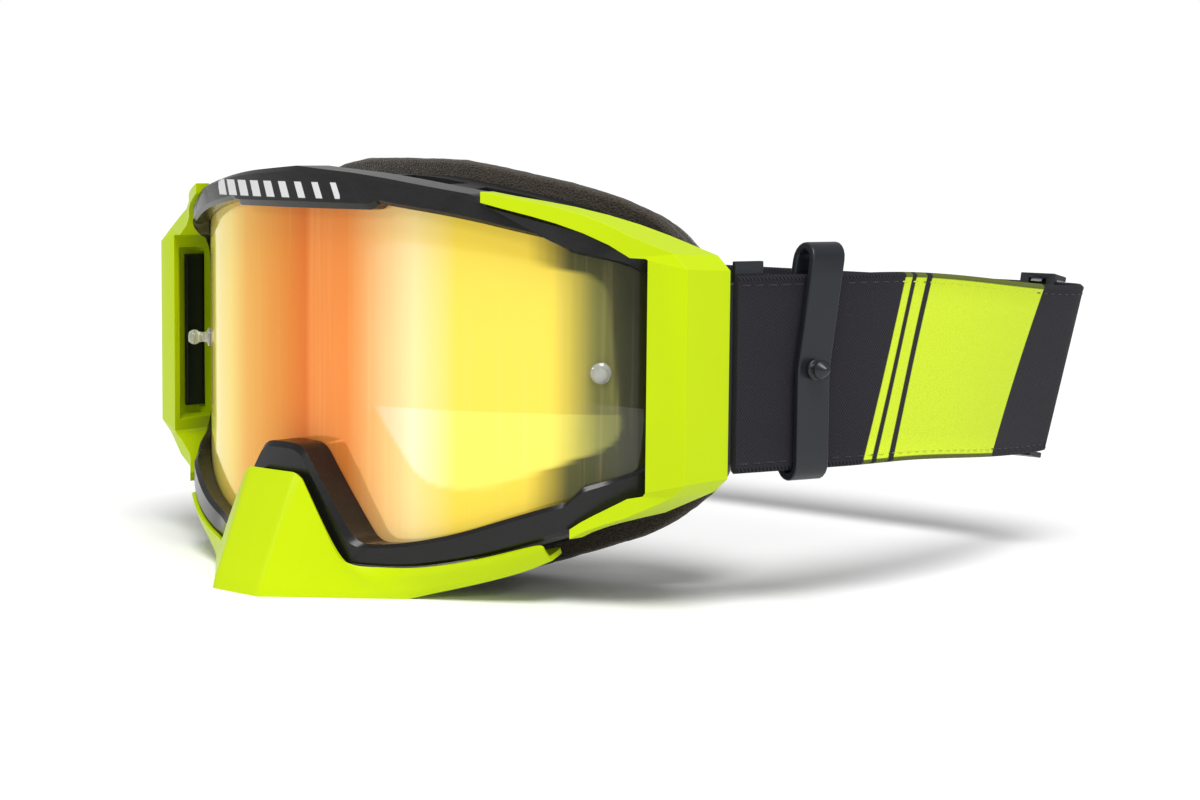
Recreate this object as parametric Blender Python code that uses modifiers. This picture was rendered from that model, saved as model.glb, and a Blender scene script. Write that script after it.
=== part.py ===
"""Motocross goggles: rim, lens, face frame, foam, outriggers, nose guard and elastic strap.

Lengths are in millimetres until a mesh is made. The design axes have +X to the wearer's left,
+Y from the lens towards the face and +Z up, and start midway between the two tear-off pins.
The datum empty carries every part, and moves that point so that the world's origin is where
the wearer's face meets the foam on the midplane.
"""
import math

import bmesh
import bpy
from mathutils import Matrix, Vector

MM = 0.001

# Lens and rim
LENS_RADIUS = 112.0        # outer surface of the cylindrical lens
LENS_FRONT_Y = -28.8       # that surface on the midplane
LENS_CENTRE_Y = LENS_RADIUS + LENS_FRONT_Y
LENS_THICKNESS = 1.2
LENS_COVER = 2.2           # how far the lens runs under the rim
LENS_GAP = 0.3             # clearance of the lens in its seat
RIM_STAND = 5.0            # rim face in front of the lens
RIM_SIDE_STAND = 1.8       # and the same at its two ends
RIM_SINK_START = 67.0      # distance from the midplane where it starts to sink
RIM_SINK_END = 79.0
RIM_DEPTH = 12.0           # rim face to the back of its outer wall
RIM_EDGE = 1.2             # chamfer along the rim's outer edge
TAB_DEPTH = 1.7            # brow tab, below the general opening line
NOTCH_DEPTH = 2.4          # steps at the opening's four corners
SIDE_BARE = 0.9            # the opening's sides lie this much nearer the lens's edge
NOSE_BULGE = 4.2           # how far the nose arch swells forwards
NOSE_BULGE_INNER = 20.0    # full swell inside this half-width
NOSE_BULGE_OUTER = 38.0    # no swell outside this half-width

# Face frame and foam
FRAME_WALL = 2.6
FRAME_GAP = 0.4            # clearance between face frame and rim
FLANGE_THICKNESS = 2.2
FLANGE_WIDTH = 9.0
FACE_RADIUS = 110.0        # curve of the frame's back towards the face
FLANGE_Y = 4.0             # back of the flange on the midplane
FOAM_GAP = 0.5
FOAM_LAYERS = (5.0, 5.0, 4.0)
FOAM_OVERHANG = 4.0        # foam beyond the flange
FOAM_TAPER = 1.6           # each layer is this much smaller than the one before
FOAM_WIDTH = 13.0
VENT_LENGTH = 17.0
VENT_HEIGHT = 9.0
VENT_FOAM = 1.4

# Tear-off pins on the lens
PIN_HALF_SPACING = 75.0
PIN_NECK_RADIUS = 1.5
PIN_HEAD_RADIUS = 2.1
PIN_LENGTH = 6.2

# Outriggers
OUTRIGGER_REACH = 100.6    # outer front corner, from the midplane
OUTRIGGER_INNER = 90.7     # inner edge of its front face
OUTRIGGER_TOP = 26.1
OUTRIGGER_BOTTOM = -25.4
OUTRIGGER_DEPTH = 14.2
OUTRIGGER_WALL = 1.5
OUTRIGGER_FACE = 2.2
ARM_GAP = 0.3              # between an arm and the rim's edge
ARM_STAND = 1.0            # front of an arm, in front of the rim's face
ARM_ROOT_X = 86.2          # where both arms run into the side box
ARM_TIP_DEPTH = 4.5
UPPER_ARM = (54.6, 2.7, 5.2)   # tip's distance from the midplane, then height at tip and root
LOWER_ARM = (73.5, 2.4, 4.6)
SIDE_FRONT_Y = -1.0        # inner front edge of the side box
SIDE_RAKE = 3.1            # its outer front edge is this much further back
OUTRIGGER_REAR_Y = SIDE_FRONT_Y + SIDE_RAKE + OUTRIGGER_DEPTH
SIDE_FLARE = 1.4           # its rear edge is this much further out
SIDE_INNER_Z = (28.0, -27.8)   # inner edge of its roof and of its floor
SIDE_EDGE = 4.0            # inset of the sections that close its roof and floor
SIDE_EDGE_RISE = (0.3, 0.9)    # inner edge of those sections, above the roof and below the floor
CAVITY_TOP = (25.4, 24.0)  # hollow's roof at its inner and at its outer end
CAVITY_FLOOR = (-25.2, -24.0)
SLOT_CLEARANCE = 0.7       # above and below the clip

# Nose guard
GUARD_WALL = 1.3
GUARD_GAP = 0.4
GUARD_HALF_WIDTH = 8.9
GUARD_TOP_Z = -27.5
GUARD_FRONT_Y = -51.8      # bottom front edge
GUARD_BOTTOM_Z = -57.0
GUARD_SEAM = 0.6           # wing's upper edge below the rim
# Wing stations: top edge x, bottom edge x, its set-back behind the rim's face, and bottom z.
WING_STATIONS = (
    (25.0, 34.0, -0.6, -56.2), (29.5, 39.0, 1.4, -54.8), (38.0, 46.0, 2.4, -52.9),
    (50.0, 54.5, 3.0, -50.4), (60.0, 62.4, 3.4, -47.5), (67.5, 67.0, 3.6, -44.9),
)
WING_TUCK = 0.4            # top of the wing behind the rim's face
WING_DEPTH = 7.5           # depth of the wing's underside
WING_REAR_GAP = 2.1        # rear edge of the underside below the rim

# Strap
STRAP_WIDTH = 48.0
STRAP_THICKNESS = 2.0
STRAP_START = (102.3, OUTRIGGER_REAR_Y + 1.7)
STRAP_SPREAD = (113.4, 58.5)
STRAP_TURN_IN = (111.6, 104.0)
STRAP_CORNER = (103.6, 161.0)
STRAP_FRONT_Z = 0.3
STRAP_DROP = 6.2           # the band sinks this much towards the back of the head
STRAP_LEAN = math.radians(11.8)
STRAP_END_X = 91.6         # where the side run ends inside the adjuster
STRAP_JOIN_GAP = 0.8

# Strap clips and their hinge
HINGE_X = 98.3
HINGE_Y = OUTRIGGER_REAR_Y - 1.1
CLIP_THICKNESS = 1.4
CLIP_SLOT = 2.6
CLIP_HEIGHT = 44.0
CLIP_HEAD_RISE = 5.3       # head above the tongue
CLIP_HEAD_FALL = 0.6       # head below the tongue
CLIP_HEAD_START = 0.6      # head's reach along the strap
CLIP_HEAD_END = 9.0
CLIP_TONGUE = 6.2          # tongue in front of the hinge
CLIP_NECK = 1.6            # and behind it
CLIP_STRAP_GAP = 0.3

# Keeper and its post
KEEPER_WIDTH = 9.6
KEEPER_WALL = 1.9
KEEPER_PLACE = 20.5        # along the strap from its start
KEEPER_LEAN = 4.6
KEEPER_HEAD_ROOM = 2.4     # loop above a strap of this height about its own middle
KEEPER_FOOT_ROOM = 1.7     # and below it
KEEPER_CLEARANCE = 1.5     # to each face of the strap
KEEPER_RISE = 1.0          # its middle above the middle of the strap
POST_GAP = 0.3
POST_LENGTH = 5.2
POST_RADIUS = 1.5
POST_HEAD_RADIUS = 2.4

# Adjusters
ADJUSTER_WIDTH = 11.6
ADJUSTER_BAR = 2.9
ADJUSTER_WALL = 1.6
ADJUSTER_CHEEK = 1.5
ADJUSTER_CLEARANCE = 0.4
ADJUSTER_BITE = 1.0        # how far each bar runs into the cheeks

ARM_STEPS = 6
ARM_MEETS_SIDE = 78.7      # inside this the arms follow the rim
ARC_STEPS = 2
RUN_STEPS = (4, 1, 4, 3, 1, 3, 5, 3, 1, 4, 2, 2, 4, 2)

# Half outlines, from the top centre round the wearer's left to the bottom centre.
# A corner is (x, z, reach); reach is where its rounding starts, measured from the corner.
OPENING_LINE = (
    (0.0, 40.4, 0.0), (25.4, 40.4, 0.8), (27.6, 40.2, 0.8), (49.0, 37.2, 9.0), (69.0, 32.2, 1.0),
    (71.4, 31.6, 1.0), (83.6, 26.0, 7.0), (84.8, -23.6, 7.0), (73.4, -30.2, 1.0), (71.4, -31.2, 1.0),
    (48.0, -40.2, 8.0), (35.0, -43.4, 5.0), (25.0, -44.4, 3.5), (7.0, -20.4, 4.0), (0.0, -20.2, 0.0),
)
RIM_LINE = (
    (0.0, 49.2, 0.0), (20.0, 47.7, 8.0), (30.0, 46.4, 4.0), (51.0, 43.0, 1.0), (53.8, 40.9, 1.2),
    (71.4, 36.0, 6.0), (88.0, 27.3, 2.5), (88.8, -27.8, 2.5), (76.5, -34.5, 4.0), (71.5, -39.2, 1.5),
    (54.0, -45.6, 8.0), (36.0, -49.5, 7.0), (18.0, -48.8, 2.5), (5.5, -29.5, 2.2), (0.0, -29.3, 0.0),
)
FACE_LINE = (
    (0.0, 51.0, 0.0), (18.0, 50.8, 8.0), (30.0, 49.0, 4.0), (46.0, 45.8, 6.0), (58.0, 42.3, 5.0),
    (67.0, 37.5, 5.0), (77.0, 24.0, 10.0), (80.5, -14.0, 12.0), (78.4, -32.2, 6.0), (68.0, -42.6, 6.0),
    (52.0, -48.8, 7.0), (38.0, -54.0, 6.0), (24.0, -55.6, 6.0), (11.5, -25.0, 6.0), (0.0, -20.5, 0.0),
)


# ---------------------------------------------------------------- scene and helpers

def clear_scene():
    """Remove every object that the file opens with."""
    for old in list(bpy.data.objects):
        bpy.data.objects.remove(old, do_unlink=True)


def new_collection(name):
    """Add a collection under the scene's own."""
    made = bpy.data.collections.new(name)
    bpy.context.scene.collection.children.link(made)
    return made


def material(name, colour, roughness, metallic=0.0):
    """Make a plain Principled material."""
    made = bpy.data.materials.new(name)
    made.use_nodes = True
    shader = made.node_tree.nodes["Principled BSDF"]
    shader.inputs["Base Color"].default_value = (*colour, 1.0)
    shader.inputs["Roughness"].default_value = roughness
    shader.inputs["Metallic"].default_value = metallic
    return made


clear_scene()
GOGGLES = new_collection("motocross_goggles")
CUTTERS = new_collection("cutters")
DATUM = bpy.data.objects.new("datum", None)
GOGGLES.objects.link(DATUM)
FACE_Y = FLANGE_Y + FOAM_GAP * 3 + sum(FOAM_LAYERS)
DATUM.location = (0.0, -FACE_Y * MM, 0.0)

RIM_BLACK = material("rim_black", (0.012, 0.012, 0.013), 0.22)
FRAME_BLACK = material("frame_black", (0.02, 0.02, 0.021), 0.5)
NEON = material("neon_plastic", (0.68, 0.92, 0.01), 0.35)
LENS_MIRROR = material("lens_mirror", (0.95, 0.55, 0.12), 0.05, 0.8)
CLEAR_PIN = material("clear_pin", (0.85, 0.85, 0.8), 0.15)
FOAM_GREY = material("foam_grey", (0.05, 0.045, 0.04), 0.95)
FLEECE = material("fleece", (0.02, 0.02, 0.02), 1.0)
WEBBING = material("webbing", (0.03, 0.028, 0.032), 0.9)
CLIP_BLACK = material("clip_black", (0.015, 0.017, 0.02), 0.35)


def add_object(name, mesh, finish, collection=None, pivot=(0.0, 0.0, 0.0)):
    """Put a mesh that is drawn about its pivot into the scene, under the datum."""
    made = bpy.data.objects.new(name, mesh)
    mesh.materials.append(finish)
    (collection or GOGGLES).objects.link(made)
    made.parent = DATUM
    made.location = Vector(pivot) * MM
    return made


def finish_bmesh(shape, name, smooth_angle=35.0):
    """Turn a bmesh in millimetres into a clean mesh in metres."""
    bmesh.ops.remove_doubles(shape, verts=shape.verts, dist=1e-4)
    bmesh.ops.recalc_face_normals(shape, faces=shape.faces)
    bmesh.ops.scale(shape, vec=(MM, MM, MM), verts=shape.verts)
    mesh = bpy.data.meshes.new(name)
    shape.to_mesh(mesh)
    shape.free()
    mesh.shade_smooth()
    mesh.set_sharp_from_angle(angle=math.radians(smooth_angle))
    return mesh


def loft_mesh(name, sections, closed=False):
    """Skin sections that all have the same number of points; open lofts get end caps."""
    shape = bmesh.new()
    rings = [[shape.verts.new(point) for point in section] for section in sections]
    size = len(sections[0])
    last = len(rings) if closed else len(rings) - 1
    for index in range(last):
        near = rings[index]
        far = rings[(index + 1) % len(rings)]
        for side in range(size):
            after = (side + 1) % size
            shape.faces.new((near[side], near[after], far[after], far[side]))
    if not closed:
        shape.faces.new(rings[0])
        shape.faces.new(rings[-1])
    return finish_bmesh(shape, name)


def about(points, pivot):
    """Move a point list so that the pivot is its origin."""
    return [tuple(Vector(point) - Vector(pivot)) for point in points]


def loft(name, sections, finish, closed=False, collection=None, pivot=(0.0, 0.0, 0.0)):
    """Make a lofted object whose origin is the pivot."""
    mesh = loft_mesh(name, [about(section, pivot) for section in sections], closed)
    return add_object(name, mesh, finish, collection, pivot)


def hide_cutter(cutter):
    """Show a cutter as a wire only, and leave it out of renders."""
    cutter.hide_render = True
    cutter.display_type = "WIRE"


def boolean(target, tool, operation):
    """Join or cut with another object through a live EXACT modifier."""
    hide_cutter(tool)
    step = target.modifiers.new(f"{operation.lower()}_{tool.name}", "BOOLEAN")
    step.operation = operation
    step.solver = "EXACT"
    step.object = tool


def bevel(target, width, segments=1, angle=40.0):
    """Round a part's sharp edges."""
    step = target.modifiers.new("edge", "BEVEL")
    step.width = width * MM
    step.segments = segments
    step.limit_method = "ANGLE"
    step.angle_limit = math.radians(angle)


def turned(name, profile, finish, place, direction, steps=20):
    """Turn a profile of (radius, height) points, top first, about a direction."""
    shape = bmesh.new()
    verts = [shape.verts.new((radius * MM, 0.0, height * MM)) for radius, height in profile]
    for near, far in zip(verts, verts[1:]):
        shape.edges.new((near, far))
    mesh = bpy.data.meshes.new(name)
    shape.to_mesh(mesh)
    shape.free()
    made = add_object(name, mesh, finish, None, place)
    made.rotation_euler = Vector(direction).to_track_quat("Z", "Y").to_euler()
    screw = made.modifiers.new("turn", "SCREW")
    screw.steps = steps
    screw.render_steps = steps
    screw.use_merge_vertices = True
    screw.merge_threshold = 1e-5
    return made


# ---------------------------------------------------------------- outlines and surfaces

def mix(low, high, share):
    """Blend two numbers."""
    return low + (high - low) * share


def smooth_step(value, start, end):
    """Rise from 0 at start to 1 at end."""
    share = min(1.0, max(0.0, (value - start) / (end - start)))
    return share * share * (3.0 - 2.0 * share)


def rounded(corners, run_steps, arc_steps=ARC_STEPS):
    """Sample a polyline of (x, z, reach) corners, with each corner eased over its reach."""
    spots = [Vector(corner[:2]) for corner in corners]
    points = [spots[0]]
    start = spots[0]
    for index in range(1, len(spots)):
        here = spots[index]
        if index == len(spots) - 1:
            near, far = here, None
        else:
            back = spots[index - 1] - here
            ahead = spots[index + 1] - here
            reach = min(corners[index][2], 0.45 * back.length, 0.45 * ahead.length)
            near = here + back.normalized() * reach
            far = here + ahead.normalized() * reach
        steps = run_steps[index - 1]
        for step in range(1, steps + 1):
            points.append(start.lerp(near, step / steps))
        if far is not None:
            for step in range(1, arc_steps + 1):
                share = step / arc_steps
                points.append(near.lerp(here, share).lerp(here.lerp(far, share), share))
            start = far
    return points


def grow(points, distance):
    """Move a half outline outwards by a distance, keeping its ends on the midplane."""
    moved = []
    for index, point in enumerate(points):
        before = points[index - 1] if index else Vector((-points[1].x, points[1].y))
        after = points[index + 1] if index + 1 < len(points) else Vector((-points[-2].x, points[-2].y))
        along = (after - before).normalized()
        moved.append(point + Vector((-along.y, along.x)) * distance)
    moved[0].x = 0.0
    moved[-1].x = 0.0
    return moved


def mirrored_loop(half):
    """Close a half section list with its mirror image across the midplane."""
    other = [[(-x, y, z) for x, y, z in section] for section in reversed(half[1:-1])]
    return half + other


def arc_y(radius, x):
    """Depth of a vertical cylinder about the lens axis."""
    return LENS_CENTRE_Y - math.sqrt(radius * radius - x * x)


def face_y(x):
    """Depth of the face frame's back surface."""
    return FLANGE_Y + FACE_RADIUS - math.sqrt(FACE_RADIUS * FACE_RADIUS - x * x)


def swell(x, z):
    """Forward swell of the rim over the nose."""
    if z > 0.0:
        return 0.0
    return NOSE_BULGE * (1.0 - smooth_step(abs(x), NOSE_BULGE_INNER, NOSE_BULGE_OUTER))


RIM_RADIUS = LENS_RADIUS + RIM_STAND


def rim_front_y(x, z):
    """Depth of the rim's front face."""
    sink = (RIM_STAND - RIM_SIDE_STAND) * smooth_step(abs(x), RIM_SINK_START, RIM_SINK_END)
    return arc_y(RIM_RADIUS - sink, x) - swell(x, z)


def rim_back_y(x):
    """Depth of the back of the rim's outer wall."""
    return arc_y(RIM_RADIUS, x) + RIM_DEPTH


def opening_corners():
    """The lens opening: the general line with the brow tab and the four notches."""
    corners = [list(corner) for corner in OPENING_LINE]
    corners[0][1] -= TAB_DEPTH
    corners[1][1] -= TAB_DEPTH
    corners[5][1] -= NOTCH_DEPTH
    corners[6][1] -= NOTCH_DEPTH / 2.0
    corners[7][1] += NOTCH_DEPTH / 2.0
    corners[8][1] += NOTCH_DEPTH
    corners[6][0] += SIDE_BARE
    corners[7][0] += SIDE_BARE
    return corners


OPENING = rounded(opening_corners(), RUN_STEPS)
SEAT = grow(rounded(OPENING_LINE, RUN_STEPS), LENS_COVER + LENS_GAP)
RIM_EDGE_LINE = rounded(RIM_LINE, RUN_STEPS)
FACE_EDGE_LINE = rounded(FACE_LINE, RUN_STEPS)


def height_on(points, x, upper):
    """Height of an outline's upper or lower branch at a distance from the midplane."""
    found = []
    for near, far in zip(points, points[1:]):
        low, high = min(near.x, far.x), max(near.x, far.x)
        if low <= x <= high and high > low:
            found.append(mix(near.y, far.y, (x - near.x) / (far.x - near.x)))
    return max(found) if upper else min(found)


# ---------------------------------------------------------------- rim, lens and pins

def build_outer_frame():
    """Rim: a lip in front of the lens and an outer wall round its edge."""
    half = []
    for gap, seat, edge in zip(OPENING, SEAT, RIM_EDGE_LINE):
        lip_in = gap.lerp(edge, 0.16)
        lip_out = gap.lerp(edge, 0.88)
        half.append([
            (gap.x, arc_y(LENS_RADIUS + LENS_GAP, gap.x), gap.y),
            (gap.x, rim_front_y(gap.x, gap.y) + RIM_EDGE, gap.y),
            (lip_in.x, rim_front_y(lip_in.x, lip_in.y), lip_in.y),
            (lip_out.x, rim_front_y(lip_out.x, lip_out.y), lip_out.y),
            (edge.x, rim_front_y(edge.x, edge.y) + RIM_EDGE, edge.y),
            (edge.x, rim_back_y(edge.x), edge.y),
            (seat.x, rim_back_y(seat.x), seat.y),
            (seat.x, arc_y(LENS_RADIUS + LENS_GAP, seat.x), seat.y),
        ])
    loft("outer_frame", mirrored_loop(half), RIM_BLACK, closed=True)


def build_lens():
    """Lens: strips of the cylinder between the seat's upper and lower branches."""
    edge = grow(SEAT, -LENS_GAP)
    widest = max(point.x for point in edge)
    stations = sorted({round(point.x, 1) for point in edge if point.x < widest - 0.3})
    stations = [x for index, x in enumerate(stations) if index == 0 or x - stations[index - 1] > 0.5]
    stations.append(widest - 0.2)
    half = []
    for x in stations:
        top = height_on(edge, x, True)
        low = height_on(edge, x, False)
        front = arc_y(LENS_RADIUS, x)
        back = arc_y(LENS_RADIUS - LENS_THICKNESS, x)
        half.append([(x, front, top), (x, front, low), (x, back, low), (x, back, top)])
    other = [[(-x, y, z) for x, y, z in section] for section in reversed(half[1:])]
    loft("lens", other + half, LENS_MIRROR)


def build_pins():
    """Tear-off pins: a neck and a round head with a flat end, square to the lens."""
    profile = (
        (0.0, PIN_LENGTH), (PIN_HEAD_RADIUS * 0.55, PIN_LENGTH),
        (PIN_HEAD_RADIUS, PIN_LENGTH - 1.1), (PIN_HEAD_RADIUS, PIN_LENGTH - 2.0),
        (PIN_NECK_RADIUS, PIN_LENGTH - 3.0), (PIN_NECK_RADIUS, 1.2),
        (PIN_HEAD_RADIUS * 1.25, 0.8), (PIN_HEAD_RADIUS * 1.25, 0.0), (0.0, 0.0),
    )
    for side, name in ((1, "tear_off_pin_left"), (-1, "tear_off_pin_right")):
        across = math.asin(PIN_HALF_SPACING / LENS_RADIUS)
        out = (side * math.sin(across), -math.cos(across), 0.0)
        base = Vector((0.0, LENS_CENTRE_Y, 0.0)) + Vector(out) * (LENS_RADIUS + LENS_GAP)
        turned(name, profile, CLEAR_PIN, tuple(base), out)


# ---------------------------------------------------------------- face frame and foam

def vent_places():
    """Centres of the brow vents and the cheek vents, as (x, z, upward)."""
    brow = [(x, True) for x in (-44.0, -22.0, 0.0, 22.0, 44.0)]
    cheek = [(side * x, False) for side in (-1, 1) for x in (37.0, 57.0)]
    return brow + cheek


def build_face_frame():
    """Thin-walled frame from behind the lens back to the flange that carries the foam."""
    shell_out = grow(SEAT, -FRAME_GAP)
    shell_in = grow(shell_out, -FRAME_WALL)
    lip = grow(SEAT, -LENS_COVER - LENS_GAP - 0.8)
    step = grow(RIM_EDGE_LINE, -1.0)
    flange = grow(FACE_EDGE_LINE, -FOAM_OVERHANG)
    flange_wall = grow(flange, -FRAME_WALL)
    flange_in = grow(flange, -FLANGE_WIDTH)
    behind_lens = LENS_RADIUS - LENS_THICKNESS - LENS_GAP
    half = []
    rows = zip(shell_out, shell_in, lip, step, flange, flange_wall, flange_in)
    for out, inner, edge, shoulder, back, wall, land in rows:
        rim_clear = rim_back_y(shoulder.x) + FRAME_GAP
        half.append([
            (edge.x, arc_y(behind_lens, edge.x), edge.y),
            (out.x, arc_y(behind_lens, out.x), out.y),
            (out.x, rim_back_y(out.x) + FRAME_GAP, out.y),
            (shoulder.x, rim_clear, shoulder.y),
            (back.x, max(face_y(back.x) - FLANGE_THICKNESS, rim_clear + 0.5), back.y),
            (back.x, max(face_y(back.x), rim_clear + 1.0), back.y),
            (land.x, face_y(land.x), land.y),
            (land.x, face_y(land.x) - FLANGE_THICKNESS, land.y),
            (wall.x, face_y(wall.x) - FLANGE_THICKNESS, wall.y),
            (inner.x, arc_y(behind_lens - FRAME_WALL, inner.x), inner.y),
            (edge.x, arc_y(behind_lens - FRAME_WALL, edge.x), edge.y),
        ])
    frame = loft("face_frame", mirrored_loop(half), FRAME_BLACK, closed=True)
    for number, (x, upward) in enumerate(vent_places()):
        wall_z = height_on(RIM_EDGE_LINE, abs(x), upward)
        depth = mix(rim_back_y(x), face_y(x), 0.5)
        cutter = slanted_box(f"vent_cut_{number}", x, depth, wall_z, 24.0)
        boolean(frame, cutter, "DIFFERENCE")


def slanted_box(name, x, depth, wall_z, height, length=VENT_LENGTH, width=VENT_HEIGHT):
    """A box across the frame's wall, turned to follow its curve in plan."""
    turn = math.atan2(x, math.sqrt(FACE_RADIUS * FACE_RADIUS - x * x))
    bpy.ops.mesh.primitive_cube_add(size=1.0)
    box = bpy.context.object
    box.name = name
    for owner in list(box.users_collection):
        owner.objects.unlink(box)
    CUTTERS.objects.link(box)
    box.data.transform(Matrix.Diagonal((length * MM, width * MM, height * MM, 1.0)))
    box.parent = DATUM
    box.location = Vector((x, depth, wall_z)) * MM
    box.rotation_euler = (0.0, 0.0, turn)
    return box


def ring_layer(name, outline, front, thickness, width, finish):
    """A foam ring that follows the face curve."""
    inner = grow(outline, -width)
    half = []
    for out, land in zip(outline, inner):
        half.append([
            (out.x, face_y(out.x) + front, out.y),
            (out.x, face_y(out.x) + front + thickness, out.y),
            (land.x, face_y(land.x) + front + thickness, land.y),
            (land.x, face_y(land.x) + front, land.y),
        ])
    loft(name, mirrored_loop(half), finish, closed=True)


def build_foam():
    """Three bonded rings, each a little smaller than the one in front of it."""
    front = FOAM_GAP
    names = ("foam_base", "foam_middle", "foam_face")
    for number, (name, thickness) in enumerate(zip(names, FOAM_LAYERS)):
        outline = grow(FACE_EDGE_LINE, -FOAM_TAPER * number)
        width = FOAM_WIDTH - FOAM_TAPER * number
        ring_layer(name, outline, front, thickness, width, FLEECE if number == 2 else FOAM_GREY)
        front += thickness + FOAM_GAP


def vent_strip(name, stations, upward, finish=FOAM_GREY):
    """Filter foam on the inside of the frame's wall, behind a row of vents."""
    inner_front = grow(SEAT, -FRAME_GAP - FRAME_WALL - FOAM_GAP - 0.4)
    inner_back = grow(FACE_EDGE_LINE, -FOAM_OVERHANG - FRAME_WALL - FOAM_GAP - 0.4)
    sections = []
    for x in stations:
        near = arc_y(LENS_RADIUS - LENS_THICKNESS - LENS_GAP - FRAME_WALL, x) + 1.5
        far = face_y(x) - FLANGE_THICKNESS - 1.5
        front = height_on(inner_front, abs(x), upward)
        back = height_on(inner_back, abs(x), upward)
        down = -VENT_FOAM if upward else VENT_FOAM
        sections.append([
            (x, near, front), (x, far, back), (x, far, back + down), (x, near, front + down),
        ])
    loft(name, sections, finish)


def build_vent_foam():
    """One strip across the brow and one in each cheek."""
    brow = [mix(-54.0, 54.0, step / 18.0) for step in range(19)]
    cheek = [mix(29.0, 65.0, step / 6.0) for step in range(7)]
    vent_strip("vent_foam_top", brow, True)
    vent_strip("vent_foam_left", cheek, False)
    vent_strip("vent_foam_right", [-x for x in cheek], False)


# ---------------------------------------------------------------- outriggers

def outrigger_front_y(x):
    """The arms lie on the rim's curve; the face runs straight on outwards from it."""
    if x < ARM_MEETS_SIDE:
        return arc_y(RIM_RADIUS + ARM_STAND, x)
    return SIDE_FRONT_Y + (x - OUTRIGGER_INNER) * SIDE_RAKE / (OUTRIGGER_REACH - OUTRIGGER_INNER)


def arm_sections(upper):
    """Sections of one arm, from its tip to the root beside the face."""
    sign = 1.0 if upper else -1.0
    start, tip_height, root_height = UPPER_ARM if upper else LOWER_ARM
    sections = []
    for step in range(ARM_STEPS + 1):
        share = step / ARM_STEPS
        x = mix(start, ARM_ROOT_X, share)
        low = height_on(RIM_EDGE_LINE, x, upper) + sign * ARM_GAP
        high = low + sign * mix(tip_height, root_height, share)
        front = outrigger_front_y(x)
        depth = mix(ARM_TIP_DEPTH, OUTRIGGER_DEPTH, share * share)
        sections.append([
            (x, front, low), (x, front, high), (x, front + depth, high), (x, front + depth, low),
        ])
    return sections


def side_section(shift, z_inner, z_outer):
    """One section of the deep side box; shift pulls its outer corners inwards."""
    front = outrigger_front_y(OUTRIGGER_INNER)
    corner = outrigger_front_y(OUTRIGGER_REACH)
    rear = OUTRIGGER_REAR_Y
    return [
        (OUTRIGGER_INNER - shift * 0.2, front, z_inner),
        (OUTRIGGER_REACH - shift, corner, z_outer),
        (OUTRIGGER_REACH + SIDE_FLARE - shift, rear, z_outer - math.copysign(0.6, z_outer)),
        (OUTRIGGER_INNER + 2.6 - shift * 0.2, rear, z_inner),
    ]


def build_outrigger(side, name):
    """A deep box open towards the frame, joined to it by an upper and a lower arm."""
    roof, floor = SIDE_INNER_Z
    sections = arm_sections(True)
    sections.append(side_section(SIDE_EDGE, roof + SIDE_EDGE_RISE[0], OUTRIGGER_TOP + 3.5))
    sections.append(side_section(0.0, roof, OUTRIGGER_TOP))
    sections.append(side_section(0.0, floor, OUTRIGGER_BOTTOM))
    sections.append(side_section(SIDE_EDGE, floor - SIDE_EDGE_RISE[1], OUTRIGGER_BOTTOM - 3.4))
    sections += list(reversed(arm_sections(False)))
    body = loft(name, flip(sections, side), NEON)
    rear = OUTRIGGER_REAR_Y
    front = outrigger_front_y(OUTRIGGER_INNER) + OUTRIGGER_FACE
    corner = outrigger_front_y(OUTRIGGER_REACH) + OUTRIGGER_FACE
    wall_x = OUTRIGGER_REACH - OUTRIGGER_WALL
    outboard = wall_x + SIDE_FLARE
    inboard = OUTRIGGER_INNER - 8.0
    cavity = [(inboard, front), (OUTRIGGER_INNER + 0.6, front), (wall_x, corner),
              (outboard, rear - OUTRIGGER_WALL), (inboard, rear - OUTRIGGER_WALL)]
    levels = []
    for inner_z, outer_z in (CAVITY_FLOOR, CAVITY_TOP):
        fall = (outer_z - inner_z) / (outboard - inboard)
        levels.append([(x, y, inner_z + fall * (x - inboard)) for x, y in cavity])
    hollow = loft(f"{name}_hollow", flip(levels, side), NEON, False, CUTTERS)
    boolean(body, hollow, "DIFFERENCE")
    slot_in = HINGE_X - CLIP_SLOT / 2.0
    slot_out = HINGE_X + CLIP_SLOT / 2.0
    slot = [(slot_in, rear - 4.0), (slot_out, rear - 4.0), (slot_out, rear + 1.0), (slot_in, rear + 1.0)]
    half = CLIP_HEIGHT / 2.0 + SLOT_CLEARANCE
    opening = [[(x, y, z) for x, y in slot] for z in (STRAP_FRONT_Z - half, STRAP_FRONT_Z + half)]
    boolean(body, loft(f"{name}_slot", flip(opening, side), NEON, False, CUTTERS), "DIFFERENCE")


def flip(sections, side):
    """Mirror sections to the wearer's right when side is -1."""
    return [[(side * x, y, z) for x, y, z in section] for section in sections]


# ---------------------------------------------------------------- nose guard

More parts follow.
